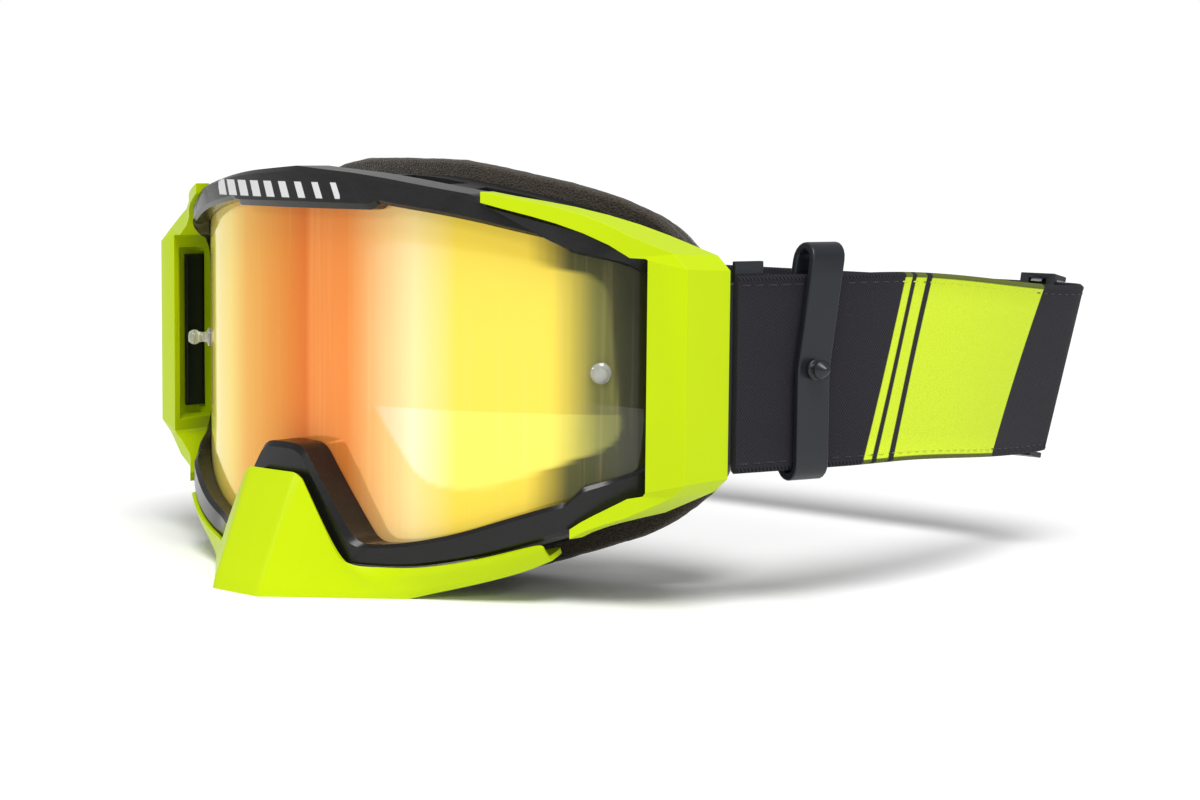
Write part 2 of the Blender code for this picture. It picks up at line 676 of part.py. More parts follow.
def guard_rows():
    """Left half rows of the guard: top edge, middle, bottom front edge and underside's rear."""
    def top(x, z):
        return (x, rim_front_y(x, z) - GUARD_GAP - GUARD_WALL, z)

    floor = GUARD_BOTTOM_Z
    nose = [
        [top(0.0, GUARD_TOP_Z), (0.0, GUARD_FRONT_Y - 0.2, floor), (0.0, -37.0, floor)],
        [top(GUARD_HALF_WIDTH * 0.92, GUARD_TOP_Z), (GUARD_HALF_WIDTH * 0.94, GUARD_FRONT_Y, floor),
         (7.4, -36.8, floor)],
        [top(GUARD_HALF_WIDTH + 1.2, GUARD_TOP_Z - 1.1),
         (GUARD_HALF_WIDTH + 1.0, GUARD_FRONT_Y + 1.4, floor), (8.6, -36.6, floor)],
        [top(15.2, -36.5), (18.5, -43.0, floor), (14.0, -34.0, floor)],
        [top(21.4, -46.4), (28.0, -35.0, floor), (23.0, -27.6, floor)],
    ]
    rows = [[upper, tuple(Vector(upper).lerp(Vector(lower), 0.5)), lower, back]
            for upper, lower, back in nose]
    for number, (upper_x, lower_x, setback, z) in enumerate(WING_STATIONS):
        edge = height_on(RIM_EDGE_LINE, upper_x, False)
        upper = top(upper_x, edge - GUARD_SEAM * 1.5)
        if number:
            upper = (upper_x, rim_front_y(upper_x, edge) + WING_TUCK, edge - GUARD_SEAM)
        lower = (lower_x, rim_front_y(lower_x, z) + setback, z)
        middle = (mix(upper_x, lower_x, 0.35), mix(upper[1], lower[1], 0.2), mix(upper[2], z, 0.4))
        back_z = height_on(RIM_EDGE_LINE, lower_x, False) - WING_REAR_GAP
        rows.append([upper, middle, lower, (lower_x - 1.5, lower[1] + WING_DEPTH, max(back_z, z))])
    return rows


def build_nose_guard():
    """An open skin over the nose arch and along the rim's lower edge, thickened inwards."""
    rows = guard_rows()
    rows = [[(-x, y, z) for x, y, z in row] for row in reversed(rows[1:])] + rows
    shape = bmesh.new()
    grid = [[shape.verts.new(point) for point in row] for row in rows]
    for near, far in zip(grid, grid[1:]):
        for low in range(len(near) - 1):
            shape.faces.new((near[low], near[low + 1], far[low + 1], far[low]))
    guard = add_object("nose_guard", finish_bmesh(shape, "nose_guard"), NEON)
    wall = guard.modifiers.new("wall", "SOLIDIFY")
    wall.thickness = GUARD_WALL * MM
    wall.offset = -1.0
    wall.use_even_offset = True


# ---------------------------------------------------------------- strap, clips, keeper, adjusters

STRAP_PATH = rounded(
    ((*STRAP_START, 0.0), (*STRAP_SPREAD, 12.0), (*STRAP_TURN_IN, 16.0), (*STRAP_CORNER, 6.0),
     (0.0, STRAP_CORNER[1] + 0.01, 0.0)),
    (4, 4, 4, 10), 5,
)


def strap_frame(point, along):
    """Centre, outward normal and upward direction of the strap at a point of its path."""
    lean = STRAP_LEAN * smooth_step(point.y, STRAP_SPREAD[1], STRAP_CORNER[1])
    drop = STRAP_DROP * smooth_step(point.y, STRAP_SPREAD[1], STRAP_CORNER[1])
    out = Vector((along.y, -along.x, 0.0)).normalized()
    up = Vector((0.0, 0.0, math.cos(lean))) + out * math.sin(lean)
    normal = out * math.cos(lean) - Vector((0.0, 0.0, math.sin(lean)))
    return Vector((point.x, point.y, STRAP_FRONT_Z - drop)), normal, up


def strap_section(point, along):
    """Rectangle of the strap at a point of its path."""
    centre, normal, up = strap_frame(point, along)
    half_up = up * STRAP_WIDTH / 2.0
    half_out = normal * STRAP_THICKNESS / 2.0
    return [tuple(centre + half_up + half_out), tuple(centre - half_up + half_out),
            tuple(centre - half_up - half_out), tuple(centre + half_up - half_out)]


def strap_sections():
    """Sections of the strap's left run, from its clip round to the adjuster."""
    sections = []
    for index, point in enumerate(STRAP_PATH):
        before = STRAP_PATH[max(0, index - 1)]
        after = STRAP_PATH[min(len(STRAP_PATH) - 1, index + 1)]
        if point.y > STRAP_CORNER[1] - 1.0 and point.x < STRAP_END_X:
            break
        sections.append(strap_section(point, (after - before).normalized()))
    back = Vector((-1.0, 0.0))
    sections.append(strap_section(Vector((STRAP_END_X, STRAP_CORNER[1])), back))
    return sections


def build_strap(side, name):
    """Side run of the elastic strap, with its origin on the clip's hinge."""
    pivot = (side * HINGE_X, HINGE_Y, STRAP_FRONT_Z)
    loft(name, flip(strap_sections(), side), WEBBING, pivot=pivot)


def build_strap_back():
    """Stretch of the strap between the two adjusters."""
    reach = STRAP_END_X - STRAP_JOIN_GAP
    backwards = Vector((-1.0, 0.0))
    sections = [strap_section(Vector((x, STRAP_CORNER[1])), backwards) for x in (reach, 0.0, -reach)]
    loft("strap_back", sections, WEBBING)


def build_clip(side, name):
    """Tongue through the outrigger's slot, with a taller head that the strap is sewn to."""
    half = CLIP_THICKNESS / 2.0
    away = (Vector(STRAP_SPREAD) - Vector(STRAP_START)).normalized()
    across = Vector((away.y, -away.x))
    inner_face = Vector(STRAP_START) - across * (STRAP_THICKNESS / 2.0 + CLIP_STRAP_GAP)
    head_start = inner_face + away * CLIP_HEAD_START
    head_end = inner_face + away * CLIP_HEAD_END
    head = [tuple(head_start), tuple(head_end), tuple(head_end - across * CLIP_THICKNESS),
            tuple(head_start - across * CLIP_THICKNESS)]
    tongue = [(HINGE_X - half, HINGE_Y - CLIP_TONGUE), (HINGE_X + half, HINGE_Y - CLIP_TONGUE),
              (HINGE_X + half, HINGE_Y + CLIP_NECK), *head, (HINGE_X - half, HINGE_Y + CLIP_NECK)]
    pivot = (side * HINGE_X, HINGE_Y, STRAP_FRONT_Z)
    low = STRAP_FRONT_Z - CLIP_HEIGHT / 2.0
    high = low + CLIP_HEIGHT
    clip = loft(name, flip([[(x, y, z) for x, y in tongue] for z in (low, high)], side),
                CLIP_BLACK, pivot=pivot)
    ends = (low - CLIP_HEAD_FALL, high + CLIP_HEAD_RISE)
    plate = loft(f"{name}_head", flip([[(x, y, z) for x, y in head] for z in ends], side),
                 CLIP_BLACK, False, CUTTERS, pivot)
    boolean(clip, plate, "UNION")


def keeper_axes():
    """Where the keeper sits on the straight run: its centre and the strap's directions."""
    away = (Vector(STRAP_SPREAD) - Vector(STRAP_START)).normalized()
    spot = Vector(STRAP_START) + away * KEEPER_PLACE
    centre = Vector((spot.x, spot.y, STRAP_FRONT_Z + KEEPER_RISE))
    return centre, Vector((away.x, away.y, 0.0)), Vector((away.y, -away.x, 0.0))


def build_keeper():
    """Hairpin strip bent round the strap, with its upper half raked back, and its post."""
    centre, away, out = keeper_axes()
    inside = STRAP_THICKNESS / 2.0 + KEEPER_CLEARANCE
    outside = inside + KEEPER_WALL
    low = STRAP_WIDTH / 2.0 + KEEPER_FOOT_ROOM
    high = STRAP_WIDTH / 2.0 + KEEPER_HEAD_ROOM

    def rake(height):
        return KEEPER_LEAN * max(0.0, height) / (high + outside)

    def ring(reach, foot):
        return [(reach, 0.0), (reach, high), (0.0, high + reach), (-reach, high), (-reach, 0.0),
                (-reach, -foot), (0.0, -foot), (reach, -foot)]

    sections = []
    for inner, outer in zip(ring(inside, low), ring(outside, low + KEEPER_WALL)):
        section = []
        for (offset, height), edge in ((outer, -1.0), (outer, 1.0), (inner, 1.0), (inner, -1.0)):
            along = edge * KEEPER_WIDTH / 2.0 + rake(height)
            section.append(tuple(centre + out * offset + away * along + Vector((0.0, 0.0, height))))
        sections.append(section)
    keeper = loft("strap_keeper", sections, CLIP_BLACK, closed=True, pivot=tuple(centre))
    bevel(keeper, 0.4)
    cone = POST_LENGTH * 0.42
    profile = (
        (0.0, POST_LENGTH), (POST_RADIUS * 0.5, POST_LENGTH), (POST_HEAD_RADIUS, POST_LENGTH - cone),
        (POST_HEAD_RADIUS, POST_LENGTH - cone - 0.7), (POST_RADIUS, POST_LENGTH - cone - 1.2),
        (POST_RADIUS, 1.0), (POST_RADIUS * 1.7, 0.8), (POST_RADIUS * 1.7, 0.0), (0.0, 0.0),
    )
    base = centre + out * (outside + POST_GAP)
    turned("tear_off_post", profile, CLIP_BLACK, tuple(base), tuple(out))


def build_adjuster(side, name):
    """Slider with one bar outside the strap and two inside it, held by two cheeks."""
    spot = Vector((STRAP_END_X, STRAP_CORNER[1]))
    centre, normal, up = strap_frame(spot, Vector((-1.0, 0.0)))
    inner = STRAP_THICKNESS / 2.0 + ADJUSTER_CLEARANCE
    outer = inner + ADJUSTER_WALL
    tall = STRAP_WIDTH / 2.0 + ADJUSTER_CLEARANCE
    wide = ADJUSTER_WIDTH / 2.0
    bar = ADJUSTER_BAR
    bite = ADJUSTER_BITE

    def block(label, along_span, up_span, out_span, collection):
        corners = []
        for height in up_span:
            ring = [(along_span[0], out_span[0]), (along_span[1], out_span[0]),
                    (along_span[1], out_span[1]), (along_span[0], out_span[1])]
            corners.append([tuple(centre + Vector((along, 0.0, 0.0)) + up * height + normal * out)
                            for along, out in ring])
        pivot = (side * centre.x, centre.y, centre.z)
        return loft(label, flip(corners, side), CLIP_BLACK, False, collection, pivot)

    body = block(name, (-wide, wide), (tall, tall + ADJUSTER_CHEEK), (-outer, outer), GOGGLES)
    spans = {
        "low_cheek": ((-wide, wide), (-tall - ADJUSTER_CHEEK, -tall), (-outer, outer)),
        "outer_bar": ((-bar / 2.0, bar / 2.0), (-tall - bite, tall + bite), (inner, outer)),
        "near_bar": ((-wide, -wide + bar), (-tall - bite, tall + bite), (-outer, -inner)),
        "far_bar": ((wide - bar, wide), (-tall - bite, tall + bite), (-outer, -inner)),
    }
    for label, (along_span, up_span, out_span) in spans.items():
        boolean(body, block(f"{name}_{label}", along_span, up_span, out_span, CUTTERS), "UNION")


def main():
    """Build every part."""
    build_outer_frame()
    build_lens()
    build_pins()
    build_face_frame()
    build_foam()
    build_vent_foam()
    build_nose_guard()
    build_strap_back()
    build_keeper()
    for side, word in ((1, "left"), (-1, "right")):
        build_outrigger(side, f"outrigger_{word}")
        build_clip(side, f"strap_clip_{word}")
        build_strap(side, f"strap_{word}")
        build_adjuster(side, f"adjuster_{word}")


main()
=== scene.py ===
"""Finished looks of a pair of motocross goggles, laid out as an add-on and run as a script.

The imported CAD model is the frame. Lengths are in millimetres on the part's design axes (+X to
the wearer's left, +Y towards the face, +Z up, from midway between the tear-off pins) until a
mesh is made, and then in metres in the frame's own axes.
"""
import math

import bmesh
import bpy
from mathutils import Matrix, Vector, noise


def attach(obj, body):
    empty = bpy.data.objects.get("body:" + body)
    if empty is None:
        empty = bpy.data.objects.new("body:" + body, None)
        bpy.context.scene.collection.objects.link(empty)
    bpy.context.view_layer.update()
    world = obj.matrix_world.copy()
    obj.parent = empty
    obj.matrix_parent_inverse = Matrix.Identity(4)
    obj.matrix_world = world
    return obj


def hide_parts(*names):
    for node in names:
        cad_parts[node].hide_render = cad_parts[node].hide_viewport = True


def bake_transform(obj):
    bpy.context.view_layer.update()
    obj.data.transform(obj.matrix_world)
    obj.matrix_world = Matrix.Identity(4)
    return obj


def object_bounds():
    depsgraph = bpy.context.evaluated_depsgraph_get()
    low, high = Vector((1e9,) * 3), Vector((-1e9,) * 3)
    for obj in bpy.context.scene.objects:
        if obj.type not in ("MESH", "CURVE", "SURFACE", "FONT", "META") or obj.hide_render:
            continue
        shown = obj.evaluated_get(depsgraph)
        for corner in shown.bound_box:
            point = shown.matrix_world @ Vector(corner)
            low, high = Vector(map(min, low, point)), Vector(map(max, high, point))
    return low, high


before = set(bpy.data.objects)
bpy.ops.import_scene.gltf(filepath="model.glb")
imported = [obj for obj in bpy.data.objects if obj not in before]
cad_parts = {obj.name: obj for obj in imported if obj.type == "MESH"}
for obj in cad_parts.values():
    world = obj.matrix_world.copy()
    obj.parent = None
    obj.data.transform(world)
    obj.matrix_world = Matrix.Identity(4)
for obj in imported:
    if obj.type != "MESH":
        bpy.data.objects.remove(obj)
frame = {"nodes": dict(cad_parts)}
CAD_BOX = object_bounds()

bl_info = {
    "name": "Motocross goggles",
    "version": (1, 0, 0),
    "blender": (4, 5, 0),
    "location": "3D View > Sidebar > Goggles",
    "description": "Builds the finished pieces of a pair of motocross goggles on their CAD frame",
    "category": "Object",
}

MM = 0.001

# ---------------------------------------------------------------- the frame's own sizes

LENS_RADIUS = 112.0
LENS_FRONT_Y = -28.8
LENS_CENTRE_Y = LENS_RADIUS + LENS_FRONT_Y
LENS_THICKNESS = 1.2
LENS_COVER = 2.2
LENS_GAP = 0.3
RIM_STAND = 5.0
RIM_SIDE_STAND = 1.8
RIM_SINK_START = 67.0
RIM_SINK_END = 79.0
RIM_DEPTH = 12.0
RIM_EDGE = 1.2
NOSE_BULGE = 4.2
FACE_RADIUS = 110.0
FLANGE_Y = 4.0
FOAM_GAP = 0.5
FOAM_LAYERS = (5.0, 5.0, 4.0)
FOAM_TAPER = 1.6
FOAM_WIDTH = 13.0
FACE_Y = FLANGE_Y + FOAM_GAP * 3 + sum(FOAM_LAYERS)
PIN_HALF_SPACING = 75.0
GUARD_WALL = 1.3
STRAP_THICKNESS = 2.0
STRAP_START = (102.3, 18.0)
STRAP_SPREAD = (113.4, 58.5)
STRAP_TURN_IN = (111.6, 104.0)
STRAP_CORNER = (103.6, 161.0)
STRAP_LEAN = math.radians(11.8)
STRAP_DROP = 6.2
STRAP_WIDTH = 48.0
STRAP_FRONT_Z = 0.3
KEEPER_PLACE = 20.5
KEEPER_WIDTH = 9.6
KEEPER_WALL = 1.9
KEEPER_CLEARANCE = 1.5
KEEPER_LEAN = 4.6
KEEPER_HEAD_ROOM = 2.4
KEEPER_FOOT_ROOM = 1.7
KEEPER_RISE = 1.0

# Half outlines: (x, z, reach of the corner's rounding), top centre to bottom centre
OPENING_LINE = (
    (0.0, 38.7, 0.0), (25.4, 38.7, 0.8), (27.6, 40.2, 0.8), (49.0, 37.2, 9.0), (69.0, 32.2, 1.0),
    (71.4, 29.2, 1.0), (84.5, 24.8, 7.0), (85.7, -22.4, 7.0), (73.4, -27.8, 1.0), (71.4, -31.2, 1.0),
    (48.0, -40.2, 8.0), (35.0, -43.4, 5.0), (25.0, -44.4, 3.5), (7.0, -20.4, 4.0), (0.0, -20.2, 0.0),
)
SEAT_LINE = (
    (0.0, 40.4, 0.0), (25.4, 40.4, 0.8), (27.6, 40.2, 0.8), (49.0, 37.2, 9.0), (69.0, 32.2, 1.0),
    (71.4, 31.6, 1.0), (83.6, 26.0, 7.0), (84.8, -23.6, 7.0), (73.4, -30.2, 1.0), (71.4, -31.2, 1.0),
    (48.0, -40.2, 8.0), (35.0, -43.4, 5.0), (25.0, -44.4, 3.5), (7.0, -20.4, 4.0), (0.0, -20.2, 0.0),
)
RIM_LINE = (
    (0.0, 49.2, 0.0), (20.0, 47.7, 8.0), (30.0, 46.4, 4.0), (51.0, 43.0, 1.0), (53.8, 40.9, 1.2),
    (71.4, 36.0, 6.0), (88.0, 27.3, 2.5), (88.8, -27.8, 2.5), (76.5, -34.5, 4.0), (71.5, -39.2, 1.5),
    (54.0, -45.6, 8.0), (36.0, -49.5, 7.0), (18.0, -48.8, 2.5), (5.5, -29.5, 2.2), (0.0, -29.3, 0.0),
)
FACE_LINE = (
    (0.0, 51.0, 0.0), (18.0, 50.8, 8.0), (30.0, 49.0, 4.0), (46.0, 45.8, 6.0), (58.0, 42.3, 5.0),
    (67.0, 37.5, 5.0), (77.0, 24.0, 10.0), (80.5, -14.0, 12.0), (78.4, -32.2, 6.0), (68.0, -42.6, 6.0),
    (52.0, -48.8, 7.0), (38.0, -54.0, 6.0), (24.0, -55.6, 6.0), (11.5, -25.0, 6.0), (0.0, -20.5, 0.0),
)
RUN_STEPS = (8, 2, 8, 6, 2, 6, 14, 6, 2, 8, 5, 4, 8, 5)
CORNER_STEPS = 5


# ---------------------------------------------------------------- settings

def colour(label, description, default):
    """A colour property in linear RGB."""
    return bpy.props.FloatVectorProperty(
        name=label, description=description, default=default, subtype="COLOR", size=3, min=0.0, max=1.0)


def size(label, description, default):
    """A length property in millimetres."""
    return bpy.props.FloatProperty(name=label, description=description, default=default, min=0.0)


class GogglesSettings(bpy.types.PropertyGroup):
    """Colours and fine sizes that a user would change."""

    neon: colour("Neon", "Plastic of the outriggers and the nose guard", (0.46, 0.61, 0.0008))
    rim: colour("Rim", "Glossy plastic of the rim", (0.0048, 0.0048, 0.0050))
    frame: colour("Frame", "Satin plastic of the face frame", (0.0085, 0.0088, 0.0098))
    foam: colour("Foam", "Face foam", (0.040, 0.033, 0.026))
    webbing: colour("Webbing", "Yarn of the elastic band", (0.0165, 0.0155, 0.0198))
    panel: colour("Panel", "Printed panel on the band", (0.60, 0.76, 0.03))
    keeper: colour("Keeper", "Satin plastic of the keeper, clips and adjusters", (0.0105, 0.0125, 0.0165))
    print_grey: colour("Print", "Bars printed on the rim's brow", (0.62, 0.62, 0.63))
    edge: size("Moulded edge", "Rounding of the moulded parts' edges, mm", 0.3)
    stitch: size("Stitch length", "Length of one stitch on the band, mm", 2.6)
    yarn: size("Rib pitch", "Distance between the band's ribs, mm", 0.8)


# ---------------------------------------------------------------- outlines and surfaces

def mix(low, high, share):
    """Blend two numbers."""
    return low + (high - low) * share


def ease(value, start, end):
    """Rise smoothly from 0 at start to 1 at end."""
    share = min(1.0, max(0.0, (value - start) / (end - start)))
    return share * share * (3.0 - 2.0 * share)


def rounded(corners, run_steps, arc_steps=CORNER_STEPS):
    """Sample a polyline of (x, z, reach) corners, with each corner eased over its reach."""
    spots = [Vector(corner[:2]) for corner in corners]
    points = [spots[0]]
    start = spots[0]
    for index in range(1, len(spots)):
        here = spots[index]
        last = index == len(spots) - 1
        near = here
        if not last:
            back = spots[index - 1] - here
            ahead = spots[index + 1] - here
            reach = min(corners[index][2], 0.45 * back.length, 0.45 * ahead.length)
            near = here + back.normalized() * reach
            far = here + ahead.normalized() * reach
        steps = run_steps[index - 1]
        for step in range(1, steps + 1):
            points.append(start.lerp(near, step / steps))
        if not last:
            for step in range(1, arc_steps + 1):
                share = step / arc_steps
                points.append(near.lerp(here, share).lerp(here.lerp(far, share), share))
            start = far
    return points


def grow(points, distance):
    """Move a half outline outwards by a distance, keeping its ends on the midplane."""
    moved = []
    for index, point in enumerate(points):
        before = points[index - 1] if index else Vector((-points[1].x, points[1].y))
        after = points[index + 1] if index + 1 < len(points) else Vector((-points[-2].x, points[-2].y))
        along = (after - before).normalized()
        moved.append(point + Vector((-along.y, along.x)) * distance)
    moved[0].x = 0.0
    moved[-1].x = 0.0
    return moved


def mirrored_loop(half):
    """Close a half section list with its mirror image across the midplane."""
    return half + [[(-x, y, z) for x, y, z in section] for section in reversed(half[1:-1])]


def arc_y(radius, x):
    """Depth of a vertical cylinder about the lens axis."""
    return LENS_CENTRE_Y - math.sqrt(radius * radius - x * x)


def face_y(x):
    """Depth of the flange that carries the foam."""
    return FLANGE_Y + FACE_RADIUS - math.sqrt(FACE_RADIUS * FACE_RADIUS - x * x)


def rim_front_y(x, z):
    """Depth of the rim's front, with its swell over the nose."""
    swell = 0.0 if z > 0.0 else NOSE_BULGE * (1.0 - ease(abs(x), 20.0, 38.0))
    sink = (RIM_STAND - RIM_SIDE_STAND) * ease(abs(x), RIM_SINK_START, RIM_SINK_END)
    return arc_y(LENS_RADIUS + RIM_STAND - sink, x) - swell


def rim_back_y(x):
    """Depth of the back of the rim's outer wall."""
    return arc_y(LENS_RADIUS + RIM_STAND, x) + RIM_DEPTH


def height_on(points, x, upper):
    """Height of an outline's upper or lower branch at a distance from the midplane."""
    found = []
    for near, far in zip(points, points[1:]):
        if min(near.x, far.x) <= x <= max(near.x, far.x) and near.x != far.x:
            found.append(mix(near.y, far.y, (x - near.x) / (far.x - near.x)))
    return max(found) if upper else min(found)


OPENING = rounded(OPENING_LINE, RUN_STEPS)
SEAT = grow(rounded(SEAT_LINE, RUN_STEPS), LENS_COVER + LENS_GAP)
RIM_EDGE_LINE = rounded(RIM_LINE, RUN_STEPS)
FACE_EDGE_LINE = rounded(FACE_LINE, RUN_STEPS)


# ---------------------------------------------------------------- meshes

def to_frame(shape):
    """Move a bmesh from design millimetres to the frame's metres."""
    bmesh.ops.translate(shape, vec=(0.0, -FACE_Y, 0.0), verts=shape.verts)
    bmesh.ops.scale(shape, vec=(MM, MM, MM), verts=shape.verts)


def piece(name, shape, finish, angle=30.0):
    """Turn a bmesh in the frame's metres into a smooth-shaded object with one material."""
    mesh = bpy.data.meshes.new(name)
    shape.to_mesh(mesh)
    shape.free()
    mesh.shade_smooth()
    mesh.set_sharp_from_angle(angle=math.radians(angle))
    mesh.materials.append(finish)
    made = bpy.data.objects.new(name, mesh)
    bpy.context.scene.collection.objects.link(made)
    return made


def skin(sections, closed=False):
    """Skin sections of equal length into a bmesh in millimetres, capped where it is open."""
    shape = bmesh.new()
    rings = [[shape.verts.new(point) for point in section] for section in sections]
    pairs = list(zip(rings, rings[1:]))
    if closed:
        pairs.append((rings[-1], rings[0]))
    for near, far in pairs:
        for side in range(len(near)):
            after = (side + 1) % len(near)
            shape.faces.new((near[side], near[after], far[after], far[side]))
    if not closed:
        shape.faces.new(rings[0])
        shape.faces.new(rings[-1])
    bmesh.ops.remove_doubles(shape, verts=shape.verts, dist=1e-4)
    bmesh.ops.recalc_face_normals(shape, faces=shape.faces)
    return shape


def lofted(name, sections, finish, closed=False, angle=30.0):
    """A lofted piece in the frame's metres."""
    shape = skin(sections, closed)
    to_frame(shape)
    return piece(name, shape, finish, angle)


def turned(name, profile, base, direction, finish, steps=48):
    """Turn a (radius, height) profile, top first, about a direction; place it in the frame."""
    sections = []
    for radius, height in profile:
        ring = []
        for step in range(steps):
            angle = 2.0 * math.pi * step / steps
            ring.append((radius * math.cos(angle), radius * math.sin(angle), height))
        sections.append(ring)
    shape = skin(sections)
    turn = Vector(direction).to_track_quat("Z", "Y").to_matrix().to_4x4()
    bmesh.ops.transform(shape, matrix=Matrix.Translation(Vector(base)) @ turn, verts=shape.verts)
    to_frame(shape)
    return piece(name, shape, finish, 40.0)


MOULDED_ANGLE = 24.0


def moulded_copy(name, node, finish, width):
    """A finer copy of a CAD part: its flat faces rejoined and its edges rounded."""
    shape = bmesh.new()
    shape.from_mesh(frame["nodes"][node].data)
    bmesh.ops.remove_doubles(shape, verts=shape.verts, dist=2e-6)
    bmesh.ops.dissolve_limit(
        shape, angle_limit=math.radians(1.0), verts=shape.verts, edges=shape.edges,
        use_dissolve_boundaries=False, delimit={"NORMAL"})
    made = piece(name, shape, finish, MOULDED_ANGLE)
    round_edges(made, width)
    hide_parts(node)
    return made


def round_edges(made, width, segments=3, angle=MOULDED_ANGLE):
    """Round a piece's sharp edges and keep its flat faces flat in shading."""
    step = made.modifiers.new("edge", "BEVEL")
    step.width = width * MM
    step.segments = segments
    step.limit_method = "ANGLE"
    step.angle_limit = math.radians(angle)
    step.use_clamp_overlap = True
    step.harden_normals = True
    step.miter_outer = "MITER_ARC"


def plain_mesh(made):
    """Apply a piece's modifiers, through its evaluated copy."""
    bpy.context.view_layer.update()
    evaluated = made.evaluated_get(bpy.context.evaluated_depsgraph_get())
    mesh = bpy.data.meshes.new_from_object(evaluated)
    made.modifiers.clear()
    made.data = mesh


def finish_piece(made, body, slot, *nodes):
    """Put a finished piece on its body, and hide the CAD parts that it stands for."""
    if nodes:
        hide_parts(*nodes)
    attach(made, body)


# ---------------------------------------------------------------- materials

class Wire:
    """A node's output, on which arithmetic adds Math nodes."""

    def __init__(self, finish, socket):
        self.finish = finish
        self.socket = socket

    def maths(self, operation, other=0.0, swapped=False):
        """This value and another through one Math node."""
        left, right = (other, self) if swapped else (self, other)
        return self.finish.node("ShaderNodeMath", {"operation": operation}, {0: left, 1: right})

    def __add__(self, other):
        return self.maths("ADD", other)

    def __sub__(self, other):
        return self.maths("SUBTRACT", other)

    def __mul__(self, other):
        return self.maths("MULTIPLY", other)

    def __truediv__(self, other):
        return self.maths("DIVIDE", other)

    def __rsub__(self, other):
        return self.maths("SUBTRACT", other, True)

    __radd__ = __add__
    __rmul__ = __mul__

    def over(self, edge, soft):
        """Mask that rises from 0 to 1 across an edge."""
        return self.finish.node(
            "ShaderNodeMapRange", {"interpolation_type": "SMOOTHSTEP"},
            {"Value": self, "From Min": edge - soft, "From Max": edge + soft})

    def within(self, low, high, soft):
        """Mask that is 1 between two edges."""
        return self.over(low, soft) * (1.0 - self.over(high, soft))

    def wave(self, pitch):
        """Sine of this value, with the given pitch."""
        return (self * (2.0 * math.pi / pitch)).maths("SINE")


class Finish:
    """A Principled material, and the one method that adds nodes to it."""

    def __init__(self, name, base, constants):
        self.material = bpy.data.materials.new(name)
        self.material.use_nodes = True
        self.tree = self.material.node_tree
        self.shader = self.tree.nodes["Principled BSDF"]
        self.shader.inputs["Base Color"].default_value = (*base, 1.0)
        for socket, value in constants.items():
            self.shader.inputs[socket].default_value = value

    def node(self, kind, settings=None, values=None, output=0):
        """Add a node; its settings are set first, and then its sockets' values or links."""
        made = self.tree.nodes.new(kind)
        for name, value in (settings or {}).items():
            if name == "stops":
                self.set_stops(made.color_ramp, value)
            else:
                setattr(made, name, value)
        for socket, value in (values or {}).items():
            if isinstance(value, Wire):
                self.tree.links.new(value.socket, made.inputs[socket])
            else:
                made.inputs[socket].default_value = value
        return Wire(self, made.outputs[output])

    def set_stops(self, ramp, stops):
        """Give a colour ramp its (place, colour) stops."""
        while len(ramp.elements) > 1:
            ramp.elements.remove(ramp.elements[-1])
        for number, (place, tint) in enumerate(stops):
            element = ramp.elements[0] if number == 0 else ramp.elements.new(place)
            element.position = place
            element.color = (*tint, 1.0)

    def feed(self, socket, wire):
        """Link a value to one of the shader's sockets."""
        self.tree.links.new(wire.socket, self.shader.inputs[socket])

    def place(self):
        """Object coordinates, as X, Y and Z wires in metres."""
        spot = self.node("ShaderNodeTexCoord", output="Object")
        return [self.node("ShaderNodeSeparateXYZ", None, {0: spot}, axis) for axis in range(3)]

    def noise(self, scale, detail=3.0, stretch=(1.0, 1.0, 1.0), spot=None):
        """Noise on object coordinates or another vector, optionally stretched."""
        spot = spot or self.node("ShaderNodeTexCoord", output="Object")
        spot = self.node("ShaderNodeMapping", None, {"Vector": spot, "Scale": stretch})
        return self.node("ShaderNodeTexNoise", None, {"Vector": spot, "Scale": scale, "Detail": detail})

    def tint(self, low, high, factor):
        """Blend two colours or colour wires."""
        sides = {6: low if isinstance(low, Wire) else (*low, 1.0),
                 7: high if isinstance(high, Wire) else (*high, 1.0)}
        return self.node("ShaderNodeMix", {"data_type": "RGBA"}, {0: factor, **sides}, 2)

    def bump(self, height, depth, strength=1.0):
        """Raise the surface by a height wire, over a depth in metres."""
        made = self.node("ShaderNodeBump", None, {"Height": height, "Distance": depth, "Strength": strength})
        self.feed("Normal", made)


def darker(tint, share):
    """A colour scaled towards black, or past 1 towards white."""
    return tuple(min(1.0, part * share) for part in tint)


# Bars printed on the brow: their pitch and slant, and the field that they fill, in mm
BAR_PITCH = 6.4
BAR_SLANT = 0.42
BAR_FIELD = ((-37.0, 16.5), (41.2, 45.2))


